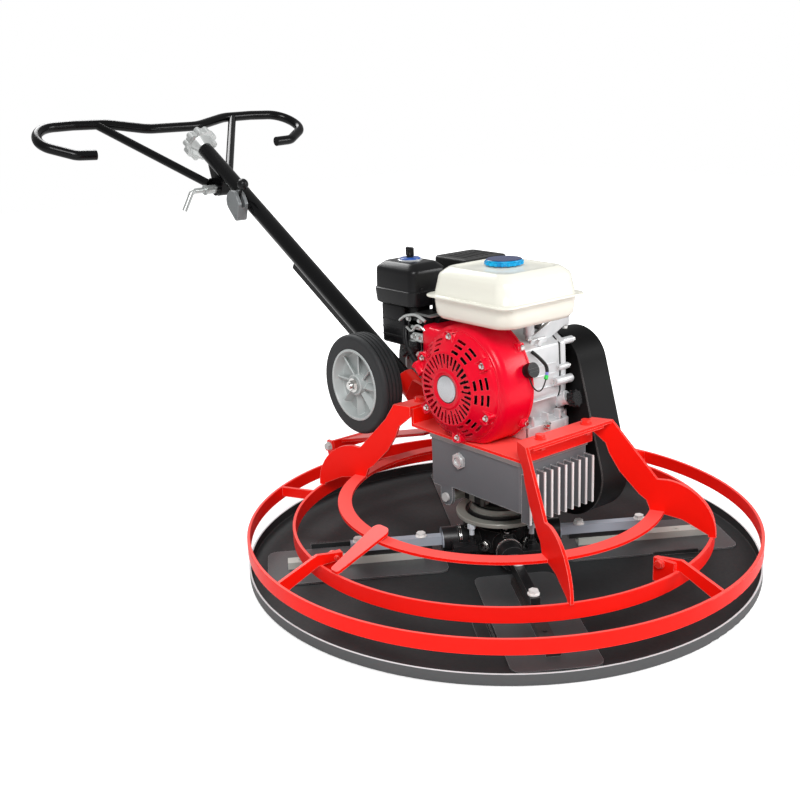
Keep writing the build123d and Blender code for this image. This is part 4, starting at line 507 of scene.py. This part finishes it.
def addSpin(bm, profile, place, steps=48, mat=0):
    before = set(bm.faces)
    verts = [bm.verts.new((radius, 0, height)) for radius, height in profile]
    edges = [bm.edges.new(pair) for pair in zip(verts, verts[1:])]
    bmesh.ops.spin(bm, geom=verts + edges, cent=(0, 0, 0), axis=(0, 0, 1), angle=2 * math.pi, steps=steps,
                   use_merge=True)
    made = [face for face in bm.faces if face not in before]
    bmesh.ops.transform(bm, matrix=place, verts=list({vert for face in made for vert in face.verts}))
    markFaces(bm, before, mat)
    return made


def joinLoops(bm, loops, caps=(False, False)):
    for first, second in zip(loops, loops[1:]):
        bmesh.ops.bridge_loops(bm, edges=first + second)
    for use, loop in zip(caps, (loops[0], loops[-1])):
        if use:
            bmesh.ops.edgeloop_fill(bm, edges=loop)


def roundLoop(bm, middle, half, corner, height, place, arc):
    made = bmesh.ops.create_circle(bm, cap_ends=False, segments=4 * (arc + 1), radius=1)
    for index, vert in enumerate(made["verts"]):
        side, step = divmod(index, arc + 1)
        angle = math.radians(90 * side + 90 * step / arc)
        signs = ((1, 1), (-1, 1), (-1, -1), (1, -1))[side]
        x = middle[0] + signs[0] * (half[0] - corner) + corner * math.cos(angle)
        y = middle[1] + signs[1] * (half[1] - corner) + corner * math.sin(angle)
        vert.co = place @ Vector((x, y, height))
    return edgesOf(made["verts"])


def addLoft(bm, rows, place=Matrix.Identity(4), arc=6, caps=(True, True)):
    before = set(bm.faces)  # a row is middle, half sizes, corner radius, height
    joinLoops(bm, [roundLoop(bm, *row, place, arc) for row in rows], caps)
    markFaces(bm, before, 0)


def smoothRoute(points):
    points = [Vector(point) for point in points]
    route = []
    for index in range(len(points) - 1):
        a, b = points[max(index - 1, 0)], points[index]
        c, d = points[index + 1], points[min(index + 2, len(points) - 1)]
        for step in range(tubeSet["parts"]):
            t = step / tubeSet["parts"]
            bend = (2 * a - 5 * b + 4 * c - d) * t * t + (3 * b - a - 3 * c + d) * t ** 3
            route.append(0.5 * (2 * b + (c - a) * t + bend))
    return route + [points[-1]]


def addTube(bm, points, radius, mat=0):
    before = set(bm.faces)
    route = smoothRoute(points)
    loops = []
    turn = None
    for index, point in enumerate(route):
        way = route[min(index + 1, len(route) - 1)] - route[max(index - 1, 0)]
        if turn is None:
            turn = way.to_track_quat("Z", "Y")
        else:
            turn = (turn @ Vector((0, 0, 1))).rotation_difference(way) @ turn
        matrix = Matrix.Translation(point) @ turn.to_matrix().to_4x4()
        made = bmesh.ops.create_circle(bm, cap_ends=False, segments=tubeSet["sides"], radius=radius, matrix=matrix)
        loops.append(edgesOf(made["verts"]))
    joinLoops(bm, loops, (True, True))
    markFaces(bm, before, mat)


def addBolt(bm, start, way, across, height, mat=0, washer=0.0):
    start, way = Vector(start), Vector(way).normalized()
    if washer:
        addRod(bm, start, start + way * washer, across * boltSet["washer"], mat=mat)
        start = start + way * washer
    addRod(bm, start, start + way * height, across / 2 * boltSet["corner"], sides=6, soft=across * boltSet["soft"],
           mat=mat)


def addAll(bm, add, rows):
    for *plain, more in rows:
        add(bm, *plain, **more)


def closePiece(bm, name, wears, body="frame", stands=(), sharp=closeSet["sharp"]):
    bmesh.ops.remove_doubles(bm, verts=bm.verts, dist=closeSet["merge"])
    bmesh.ops.recalc_face_normals(bm, faces=bm.faces)
    for face in bm.faces:
        face.smooth = True
    for edge in bm.edges:
        edge.smooth = len(edge.link_faces) == 2 and edge.calc_face_angle(0.0) < math.radians(sharp)
    bmesh.ops.scale(bm, vec=(millimetre, millimetre, millimetre), verts=bm.verts)
    mesh = bpy.data.meshes.new(name)
    bm.to_mesh(mesh)
    bm.free()
    for wear in wears:
        mesh.materials.append(finish[wear])
    piece = bpy.data.objects.new(name, mesh)
    scene.collection.objects.link(piece)
    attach(piece, body)
    if stands:
        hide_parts(*stands)
    return piece


# crank axis: a point on it, and the turn that lays z out of the recoil face with x forward and y up
crankY, crankZ = 12, 364
crankPlace = Matrix(((0, 0, -1, 0), (-1, 0, 0, crankY), (0, 1, 0, crankZ), (0, 0, 0, 1)))

# recoil starter: dished cover with slots round its face, vents on six sides, screw pockets between them
recoilSet = {
    "wears": ["engineRed", "platedBolt", "badgeSilver", "fanIron"],  # mat counts into this list
    "face": -100.0, "steps": 180, "wall": 2.0,
    "profile": [(98, -23), (106, -22), (109, -18), (109.5, -14), (108, -11.8), (105.5, -11.0), (104.5, -6.0),
                (102.5, -3.0), (95.5, 2.2), (91.5, 5.1), (87, 8.5), (83, 11.4), (77.5, 15.5), (73, 18.8),
                (71.5, 20.4), (69.5, 21.7), (67.5, 22), (60, 22), (48, 22), (41, 22), (39, 22.2), (37, 23.8),
                (34.5, 24.6), (32, 24.2), (30.5, 23.0), (27, 22.4)],
    "slots": {"step": 10, "arc": (2.5, 7), "inner": 41, "shortInner": 48, "outer": 67.4},  # every second one is short
    "vents": {"step": 60, "start": 5, "arc": (2.5, 17.5), "bands": ((91.5, 95.5), (83, 87), (73, 77.5))},
    "pockets": (35, 95, 155, 215, 275, 335), "pocketArc": 4,
    "pocketRows": [((91, 0), (16, 12), 5, -8), ((91, 0), (15.5, 11.5), 5, 7.5), ((91.5, 0), (14.5, 10.5), 4.5, 8.6),
                   ((92, 0), (13, 9), 4, 8.2), ((93.5, 0), (10.5, 7), 3, 4.4)],
    "screwPlace": (97, 0, 4.4), "screw": {"across": 7.5, "height": 4.5, "mat": 1, "washer": 1.2},
    "discs": [((0, 0, 20.5), (0, 0, 23.0), 25, {"sides": 64, "soft": 0.6, "mat": 2}),
              ((0, 0, 22.9), (0, 0, 23.5), 22.5, {"sides": 64, "soft": 0.3, "mat": 2}),
              ((0, 0, 2), (0, 0, 20.6), 34, {"sides": 48, "mat": 3})],
    "guidePlace": (-110, 105, 388), "guideWay": (0, 0.72, 0.69),
    "guideRods": [(-16, 10, 9.5, {"tip": 9, "soft": 1.2}), (5, 8, 11.5, {"soft": 1})],
}


def isOpening(face):
    middle = face.calc_center_median()
    radius = math.hypot(middle.x, middle.y)
    angle = math.degrees(math.atan2(middle.y, middle.x)) % 360
    slots, vents = recoilSet["slots"], recoilSet["vents"]
    inner = slots["inner"] if int(angle // slots["step"]) % 2 == 0 else slots["shortInner"]
    start, end = slots["arc"]
    if start < angle % slots["step"] < end and inner < radius < slots["outer"]:
        return True
    near = (angle - vents["start"]) % vents["step"]
    start, end = vents["arc"]
    return start < min(near, vents["step"] - near) < end and any(low < radius < high for low, high in vents["bands"])


def makeRecoil():
    bm = bmesh.new()
    faces = addSpin(bm, recoilSet["profile"], Matrix.Identity(4), steps=recoilSet["steps"])
    bmesh.ops.delete(bm, geom=[face for face in faces if isOpening(face)], context="FACES")
    bmesh.ops.solidify(bm, geom=list(bm.faces), thickness=-recoilSet["wall"])
    for angle in recoilSet["pockets"]:
        turn = Matrix.Rotation(math.radians(angle), 4, "Z")
        addLoft(bm, recoilSet["pocketRows"], place=turn, arc=recoilSet["pocketArc"])
        addBolt(bm, turn @ Vector(recoilSet["screwPlace"]), (0, 0, 1), **recoilSet["screw"])
    addAll(bm, addRod, recoilSet["discs"])
    place = Matrix.Translation((recoilSet["face"], 0, 0)) @ crankPlace
    bmesh.ops.transform(bm, matrix=place, verts=bm.verts)
    start, way = Vector(recoilSet["guidePlace"]), Vector(recoilSet["guideWay"])
    for low, high, radius, more in recoilSet["guideRods"]:
        addRod(bm, start + way * low, start + way * high, radius, **more)
    closePiece(bm, "recoilStarter", recoilSet["wears"], stands=["recoil_cover"])


# fan shroud: deep pressed drum with a rounded front edge and a corner over the cylinder
shroudSet = {
    "wears": ["engineRed", "platedBolt"],
    "radius": 118, "front": -89, "back": -14, "sides": 96,
    "edge": [(0.0, -34), (0.0, -17), (1.4, -10.5), (5.2, -4.6), (11, -1.2), (18, 0)],  # depth, growth of the outline
    "lip": [(-3, 0), (-3, 2.2), (0, 2.2), (0, -3)],  # the same, from the back
    "corner": (126, 463), "cornerMost": 1.28, "cornerLeast": 0.985,  # y and z, and its bounds in shares of the radius
    "cornerFrom": -30,  # an outline that shrinks further has no lower bound
    "flat": 258.6, "flatRise": 0.35,  # height of the foot, and how it rises as the outline shrinks
    "lugs": [(-14, -77, 442), (-14, -88, 300)], "lugBox": ((-16, -7, -8), (0, 9, 8)), "lugSoft": 3,
    "boltPlace": (-8, -5, 0), "bolt": {"across": 9, "height": 5, "mat": 1, "washer": 1.5},
}


def shroudPoint(angle, grow):
    across, up = math.cos(angle), math.sin(angle)
    radius = shroudSet["radius"] + grow
    reach = radius
    if 0 < angle < math.pi / 2:
        cornerY, cornerZ = shroudSet["corner"]
        square = min((cornerY - crankY + grow) / across, (cornerZ - crankZ + grow) / up)
        reach = min(radius * shroudSet["cornerMost"], square)
        if grow > shroudSet["cornerFrom"]:
            reach = max(reach, radius * shroudSet["cornerLeast"])
    foot = shroudSet["flat"] - min(grow, 0) * shroudSet["flatRise"]
    return crankY + reach * across, max(crankZ + reach * up, foot)


def makeShroud():
    bm = bmesh.new()
    depth = shroudSet["back"] - shroudSet["front"]
    rows = shroudSet["edge"] + [(depth + behind, grow) for behind, grow in shroudSet["lip"]]
    loops = []
    for height, grow in rows:
        made = bmesh.ops.create_circle(bm, cap_ends=False, segments=shroudSet["sides"], radius=1)
        for index, vert in enumerate(made["verts"]):
            angle = 2 * math.pi * index / shroudSet["sides"]
            vert.co = (shroudSet["front"] + height, *shroudPoint(angle, grow))
        loops.append(edgesOf(made["verts"]))
    joinLoops(bm, loops)
    low, high = map(Vector, shroudSet["lugBox"])
    for spot in map(Vector, shroudSet["lugs"]):
        addBox(bm, spot + low, spot + high, soft=shroudSet["lugSoft"])
        addBolt(bm, spot + Vector(shroudSet["boltPlace"]), (0, -1, 0), **shroudSet["bolt"])
    closePiece(bm, "fanShroud", shroudSet["wears"], stands=["fan_shroud"])


makeRecoil()
makeShroud()
print("recoil and shroud made")

# fuel tank: two pressed halves on a flanged seam, chamfered shoulders, panel sunk into the top
tankSet = {
    "wears": ["tankIvory"], "middle": (-2.0, -20.5), "arc": 8, "sharp": 40,
    "rows": [((62, 68), 30, 485), ((84, 89), 34, 485.6), ((92, 97), 33, 489), ((96, 101), 31, 496),
             ((97.5, 102.5), 30, 512), ((98, 103), 29, 525), ((98.6, 103.6), 29, 527.6), ((106.2, 111.7), 24, 528.2),
             ((107, 112.5), 24, 529.2), ((107, 112.5), 24, 531), ((106.2, 111.7), 24, 532), ((99, 104), 29, 532.6),
             ((97.5, 102.5), 29, 535), ((94, 99), 29, 556), ((92, 97), 28, 567), ((89.5, 94.5), 27, 572),
             ((81, 86), 25, 579.5), ((77, 82), 24, 582.5), ((73.5, 78.5), 23, 583.6), ((69, 74), 22, 583.2),
             ((66.5, 71.5), 21, 581.6), ((64, 69), 20, 580.8), ((42, 42), 30, 581.4), ((38, 38), 37, 583),
             ((25, 25), 24.9, 584.6), ((23, 23), 22.9, 590)],  # half sizes, corner radius, height
}


def makeTank():
    bm = bmesh.new()
    addLoft(bm, [(tankSet["middle"], *row) for row in tankSet["rows"]], arc=tankSet["arc"], caps=(True, False))
    closePiece(bm, "fuelTankShell", tankSet["wears"], stands=["fuel_tank"], sharp=tankSet["sharp"])


makeTank()

# air cleaner: base tray, chamfered cover with a step, blue disc on a grey ring under a tall wing nut
cleanerSet = {
    "wears": ["plasticBlack", "badgeSilver", "nutBlue"],
    "middle": (-27.0, 223.0), "half": (47.0, 63.0),
    "rows": [((-10, -10), 14, 486), ((-3, -3), 17, 487), ((0.5, 0.5), 18, 490), ((1.5, 1.5), 18, 500),
             ((2.5, 2.5), 18, 515), ((2.5, 2.5), 18, 517.5), ((1.0, 1.0), 17, 518.4), ((0.2, 0.2), 17, 519.5),
             ((-0.4, -0.4), 17, 552), ((-1.2, -1.2), 16.5, 557.5), ((-3, -3), 16, 560.5), ((-12, -14), 14, 569),
             ((-14.5, -16.5), 13, 570.6), ((-18, -20), 12, 571.6)],  # growth of the half sizes, corner radius, height
    "ducts": [((-66, 202, 404), (-26, 274, 488), {"soft": 6, "segments": 3}),
              ((-54, 173, 446), (-18, 236, 488), {"soft": 5, "segments": 3})],
    "ribs": (420, 436, 452), "ribBox": ((-67.5, 206, 0), (-24.5, 270, 4)), "ribSoft": 1.2,
    "discs": [[(0, 574.6), (24, 574.6), (25, 573.8), (25, 571), (0, 571)],
              [(0, 577.6), (18.5, 577.6), (20.5, 576.6), (21, 574.5), (0, 574.5)]],
    "nutStem": [((-27, 223, 577), (-27, 223, 586), 7.5, {"tip": 6, "soft": 1})],
    "nutWings": [((-30.6, 212.5, 580), (-23.4, 233.5, 598), {"soft": 2.6, "segments": 3}),
                 ((-32, 219.5, 578), (-22, 226.5, 594), {"soft": 2})],
    "studs": [((x, 158.7, 522), (x, 157.1, 522), 4, {"soft": 0.5}) for x in (-52, -8)],
}


def makeCleaner():
    bm = bmesh.new()
    middle, (wide, deep) = cleanerSet["middle"], cleanerSet["half"]
    addLoft(bm, [(middle, (wide + x, deep + y), corner, height) for (x, y), corner, height in cleanerSet["rows"]])
    addAll(bm, addBox, cleanerSet["ducts"])
    low, high = map(Vector, cleanerSet["ribBox"])
    for height in cleanerSet["ribs"]:
        lift = Vector((0, 0, height))
        addBox(bm, low + lift, high + lift, soft=cleanerSet["ribSoft"])
    for mat, profile in enumerate(cleanerSet["discs"], 1):
        addSpin(bm, profile, Matrix.Translation((*middle, 0)), mat=mat)
    addAll(bm, addRod, cleanerSet["nutStem"])
    addAll(bm, addBox, cleanerSet["nutWings"])
    addAll(bm, addRod, cleanerSet["studs"])
    closePiece(bm, "airCleanerCase", cleanerSet["wears"], stands=["air_cleaner"])


makeCleaner()
print("tank and air cleaner made")

# crankcase: cast half with ribs, split by a dark gasket from the side cover with its bolt bosses
caseSet = {
    "wears": ["engineAlloy", "gasketDark", "platedBolt"],
    "middle": (12, 362),  # the slabs shrink towards this point
    "outline": [(95, 258.5), (-92, 258.5), (-92, 285), (-73, 291), (-78, 322), (-84, 340), (-84, 392), (-82, 432),
                (-60, 447), (-20, 452), (40, 452), (84, 420), (100, 380), (100, 330), (84, 291), (95, 285)],
    "slabs": [(-12, 80, {"soft": 3}), (80, 83, {"mat": 1, "shrink": 0.005}), (83, 98, {"soft": 3}),
              (98, 110, {"soft": 5, "shrink": 0.14})],
    "ribs": [((-10, -86.5, height), (70, -80, height + 2.6), {"soft": 1}) for height in (330, 352, 376, 396)],
    "foot": [((-12, -94, 259), (84, -84, 286), {"soft": 2})],
    "webs": [((x, -93, 286), (x + 5, -78, 305), {"soft": 1.5}) for x in (-2, 36, 70)],
    "footBolt": [((32, -95, 281), (0, -0.5, 0.86), 12, 8, {"mat": 2, "washer": 1.5})],
    "barrelX": 33, "barrelRise": 25, "barrel": (100, (72, 78, 70)),  # distance from the crank axis, size
    "fins": 5, "finFrom": 92, "finStep": 9, "finSize": (90, 96, 3),
    "seal": [((108, 12, 364), (118, 12, 364), 46, {"sides": 48, "soft": 2})],
    "bosses": [(-72, 430, 78, 126, 7), (-84, 385, 74, 103, 6), (-87, 360, 62, 108, 8.5), (-72, 296, 74, 100, 6.5),
               (40, 447, 74, 104, 7), (98, 392, 74, 104, 7), (98, 320, 74, 104, 7)],  # y, z, x from, x to, radius
    "bossSoft": 1.5, "bossEnd": (-0.6, 2), "bossEndShare": 0.55, "bossEndRod": {"soft": 0.5, "mat": 2},
    "bossBoltShare": 1.1, "bossBolt": {"height": 5, "mat": 2, "washer": 1},
    "filler": [((86, -70, 314), (94, -90, 323), 13, {"tip": 12, "soft": 1.5}),
               ((93, -88, 322), (94.5, -92, 324), 14.5, {"soft": 1})],
}


def addSlab(bm, x0, x1, soft=0.0, mat=0, shrink=0.0):
    before = set(bm.faces)
    middleY, middleZ = caseSet["middle"]
    share = 1 - shrink
    verts = [bm.verts.new((x0, middleY + (y - middleY) * share, middleZ + (z - middleZ) * share))
             for y, z in caseSet["outline"]]
    made = bmesh.ops.extrude_face_region(bm, geom=[bm.faces.new(verts)])
    far = [item for item in made["geom"] if isinstance(item, bmesh.types.BMVert)]
    bmesh.ops.translate(bm, vec=(x1 - x0, 0, 0), verts=far)
    if soft:
        soften(bm, edgesOf(verts + far), soft)
    markFaces(bm, before, mat)


def addBarrel(bm):
    rise = math.radians(caseSet["barrelRise"])
    turn = Matrix.Rotation(rise - math.pi / 2, 4, "X")
    middle, way = Vector((caseSet["barrelX"], crankY, crankZ)), Vector((0, math.cos(rise), math.sin(rise)))
    fins = [(caseSet["finFrom"] + caseSet["finStep"] * index, caseSet["finSize"]) for index in range(caseSet["fins"])]
    for reach, size in [caseSet["barrel"]] + fins:
        spot, half = middle + way * reach, Vector(size) / 2
        addBox(bm, spot - half, spot + half, turn=turn)


def addBoss(bm, y, z, x0, x1, radius):
    low, high = caseSet["bossEnd"]
    addRod(bm, (x0, y, z), (x1, y, z), radius, soft=caseSet["bossSoft"])
    addRod(bm, (x0 + low, y, z), (x0 + high, y, z), radius * caseSet["bossEndShare"], **caseSet["bossEndRod"])
    addBolt(bm, (x1, y, z), (1, 0, 0), radius * caseSet["bossBoltShare"], **caseSet["bossBolt"])


def makeCase():
    bm = bmesh.new()
    addAll(bm, addSlab, caseSet["slabs"])
    for group in ("ribs", "foot", "webs"):
        addAll(bm, addBox, caseSet[group])
    addAll(bm, addBolt, caseSet["footBolt"])
    addBarrel(bm)
    addAll(bm, addRod, caseSet["seal"])
    for boss in caseSet["bosses"]:
        addBoss(bm, *boss)
    addAll(bm, addRod, caseSet["filler"])
    closePiece(bm, "crankcaseShell", caseSet["wears"], stands=["crankcase", "crankcase_cover"])


# tank posts: two short posts on the crankcase, a slanting bracket between them and a rubber foot
postSet = {
    "wears": ["engineAlloy", "platedBolt", "gasketDark"],
    "rods": [((16, -66, 457), (16, -66, 486), 10, {"soft": 1}), ((16, -66, 448), (16, -66, 458), 6.5, {"soft": 1}),
             ((119, -60, 458), (119, -60, 486), 8, {"soft": 1}),
             ((119, -60, 450), (119, -60, 459), 5.5, {"soft": 1, "mat": 1}),
             ((30, -82, 440), (30, -66, 440), 6, {"soft": 1}),
             ((36, -62, 466), (48, -62, 480), 9, {"soft": 2, "mat": 2})],
    "bolts": [((16, -66, 452), (0, 0, -1), 12, 6, {"mat": 1})],
    "bracket": ((20, -68, 442), (124, -58, 472)), "bracketTurn": -24, "bracketSoft": 3,
    "shelf": [((14, -74, 432), (58, -60, 448), {"soft": 4})],
}


def makeTankPosts():
    bm = bmesh.new()
    addAll(bm, addRod, postSet["rods"])
    addAll(bm, addBolt, postSet["bolts"])
    turn = Matrix.Rotation(math.radians(postSet["bracketTurn"]), 4, "Y")
    addBox(bm, *postSet["bracket"], soft=postSet["bracketSoft"], turn=turn)
    addAll(bm, addBox, postSet["shelf"])
    closePiece(bm, "tankPosts", postSet["wears"])


# lead fittings: the switch's seat on the shroud, the coloured connector and the sleeve behind it
fittingSet = {
    "wears": ["leadBlack", "leadGreen", "leadBlue"],
    "seatX": -24, "seatAngle": 162, "seatReach": 116,
    "seatRods": [(0, 8, 12, {"soft": 0.8}), (5, 6.6, 13.2, {"soft": 0.4})],
    "connector": [((22, -103, 376), (26, -101.5, 382.5), 3.8, {"soft": 0.8, "mat": 1}),
                  ((26, -101.5, 382.5), (29, -100, 389), 3.0, {"soft": 0.6, "mat": 2})],
    "sleeve": [(29, -100, 389), (26, -99, 402), (12, -94, 419), (2, -86, 430)], "sleeveRadius": 3.4,
}


def makeFittings():
    bm = bmesh.new()
    angle = math.radians(fittingSet["seatAngle"])
    out = Vector((0, math.cos(angle), math.sin(angle)))
    seat = Vector((fittingSet["seatX"], crankY, crankZ)) + out * fittingSet["seatReach"]
    for low, high, radius, more in fittingSet["seatRods"]:
        addRod(bm, seat + out * low, seat + out * high, radius, **more)
    addAll(bm, addRod, fittingSet["connector"])
    addTube(bm, fittingSet["sleeve"], fittingSet["sleeveRadius"])
    return closePiece(bm, "leadFittings", fittingSet["wears"])


# stop switch lead: thin wire that hangs from the switch body to its green connector
leadSet = {
    "diameter": 0.0026, "length": 0.072, "ringParts": 4, "lineParts": 16,
    "route": [(-0.024, -0.1063, 0.3888), (-0.022, -0.1105, 0.374), (-0.009, -0.113, 0.3595), (0.009, -0.110, 0.3625),
              (0.022, -0.103, 0.376)],
}


def makeLead(fittings):
    curve = bpy.data.curves.new("switchWire", "CURVE")
    curve.dimensions = "3D"
    curve.bevel_depth = leadSet["diameter"] / 2
    curve.bevel_resolution = leadSet["ringParts"]
    curve.resolution_u = leadSet["lineParts"]
    curve.use_fill_caps = True
    line = curve.splines.new("NURBS")
    line.points.add(len(leadSet["route"]) - 1)
    for point, spot in zip(line.points, leadSet["route"]):
        point.co = (*spot, 1)
    line.order_u = 3
    line.use_endpoint_u = True
    curve.materials.append(finish["leadBlack"])
    wire = bpy.data.objects.new("switchWire", curve)
    scene.collection.objects.link(wire)
    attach(wire, "frame")
    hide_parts("switch_lead")


makeCase()
makeTankPosts()
makeLead(makeFittings())
print("crankcase and leads made")

# carburettor side: linkage plate, levers, springs and hose between the cylinder and the air cleaner
linkageSet = {
    "wears": ["plasticBlack", "platedControl"],
    "boxes": [((-66, 118, 474), (-20, 172, 477), {"soft": 0.8, "mat": 1}),
              ((-78, 122, 384), (-34, 176, 472), {"soft": 5, "segments": 3}),
              ((-74, 130, 366), (-44, 166, 386), {"soft": 5, "segments": 3}),
              # painted shade: a dark box that fills the gap between the air cleaner and the tank
              ((-30, 104, 470), (26, 158, 510), {"soft": 5, "segments": 3}),
              ((-78, 128, 440), (-74, 170, 478), {"soft": 0.8}),
              ((-86, 120, 428), (-82, 150, 446), {"soft": 1, "mat": 1}),
              ((-90, 134, 408), (-76, 158, 428), {"soft": 3})],
    "tubes": [([(-80, 118, 470), (-84, 140, 480), (-84, 172, 474), (-80, 196, 462)], 3.2, {"mat": 1}),
              ([(-84, 112, 452), (-90, 130, 462), (-88, 150, 448), (-84, 170, 452)], 2.6, {"mat": 1}),
              ([(-80, 178, 452), (-88, 170, 430), (-88, 160, 404), (-76, 150, 384), (-60, 140, 380)], 4.2, {})],
    "rods": [((-92, 146, 416), (-76, 146, 416), 9, {"soft": 1.5}),
             ((-70, 150, 396), (-70, 150, 430), 17, {"tip": 19, "soft": 3, "mat": 1})],
    "spring": {"start": (-86, 124, 456), "step": 3.2, "wide": 1.6, "turns": 9},
    "springRod": {"radius": 3.6, "soft": 0.5, "mat": 1},
    "bowlBolt": [((-70, 150, 396), (0, 0, -1), 12, 6, {"mat": 1})],
    "screws": ((-80, 132, 470), (-80, 166, 470), (-86, 128, 438), (-86, 146, 438)),
    "screw": {"across": 8, "height": 5, "mat": 1, "washer": 1},
}


def makeLinkage():
    bm = bmesh.new()
    addAll(bm, addBox, linkageSet["boxes"])
    addAll(bm, addTube, linkageSet["tubes"])
    addAll(bm, addRod, linkageSet["rods"])
    spring = linkageSet["spring"]
    for index in range(spring["turns"]):
        start = Vector(spring["start"]) + Vector((0, spring["step"] * index, 0))
        addRod(bm, start, start + Vector((0, spring["wide"], 0)), **linkageSet["springRod"])
    addAll(bm, addBolt, linkageSet["bowlBolt"])
    for spot in linkageSet["screws"]:
        addBolt(bm, spot, (-1, 0, 0), **linkageSet["screw"])
    closePiece(bm, "throttleLinkage", linkageSet["wears"])


makeLinkage()
print("linkage made")

# rotor hub: plated bolts between the arms, rings on the boss ends and a small bolt on every pad
hubSet = {
    "wears": ["platedBolt"], "arms": (57.8, 147.8, 237.8, 327.8),
    "axis": 40, "between": 57, "boltDrop": 4, "bolt": {"across": 15, "height": 7, "washer": 2},
    "end": 84, "rings": (0, 3.4), "ringWide": 1.6, "ring": {"radius": 25.8, "sides": 48, "soft": 0.4},
    "pad": 69, "padReach": (48, 66), "padBolt": {"across": 9, "height": 4},
}


def makeHub():
    bm = bmesh.new()
    up = Vector((0, 0, 1))
    for angle in hubSet["arms"]:
        arm, side = math.radians(angle), math.radians(angle + 45)  # an arm, and halfway to the next
        way, between = Vector((math.cos(arm), math.sin(arm), 0)), Vector((math.cos(side), math.sin(side), 0))
        start = between * hubSet["between"] + up * (hubSet["axis"] - hubSet["boltDrop"])
        addBolt(bm, start, between, **hubSet["bolt"])
        for reach in hubSet["rings"]:
            start = way * (hubSet["end"] - reach) + up * hubSet["axis"]
            addRod(bm, start, start + way * hubSet["ringWide"], **hubSet["ring"])
        for reach in hubSet["padReach"]:
            addBolt(bm, way * reach + up * hubSet["pad"], up, **hubSet["padBolt"])
    closePiece(bm, "hubFittings", hubSet["wears"], body="rotor")


makeHub()
print("hub fittings made")

# transport wheel hubs: rim lip, dished web, eight leaning vanes on each side and the bearing boss
wheelSet = {
    "wears": ["hubGrey"], "middle": (100, 302, 315.95), "steps": 64,
    "vanes": 8, "lean": 42, "reach": (19, 69), "height": (1, 17), "thick": 3.2, "soft": 0.7,
    "section": [(8.1, 24), (11.5, 24), (12.5, 22), (18, 22), (19.5, 23.5), (21.5, 22.5), (22.5, 7), (27, 4), (56, 3),
                (64, 5), (68, 12), (69.5, 24), (71, 26), (75, 25.8), (76, 24)],  # radius, height over the middle
}


def makeWheelHub(name, node, body, side):
    bm = bmesh.new()
    half = wheelSet["section"]
    section = half + [(radius, -height) for radius, height in reversed(half)] + [half[0]]
    addSpin(bm, section, Matrix.Identity(4), steps=wheelSet["steps"])
    near, far = wheelSet["reach"]
    low, high = wheelSet["height"]
    size = Vector((far - near, wheelSet["thick"], high - low)) / 2
    for index in range(wheelSet["vanes"]):
        turn = Matrix.Rotation(2 * math.pi * index / wheelSet["vanes"], 4, "Z")
        for face in (1, -1):
            spot = turn @ Vector(((near + far) / 2, 0, face * (low + high) / 2))
            lean = turn @ Matrix.Rotation(face * math.radians(wheelSet["lean"]), 4, "X")
            addBox(bm, spot - size, spot + size, soft=wheelSet["soft"], turn=lean)
    x, y, z = wheelSet["middle"]
    bmesh.ops.transform(bm, matrix=alongWay((x * side, y, z), (side, 0, 0)), verts=bm.verts)
    closePiece(bm, name, wheelSet["wears"], body=body, stands=[node])


makeWheelHub("wheelHubLeft", "wheel_hub_left", "wheel_left", -1)
makeWheelHub("wheelHubRight", "wheel_hub_right", "wheel_right", 1)
print("wheel hubs made")
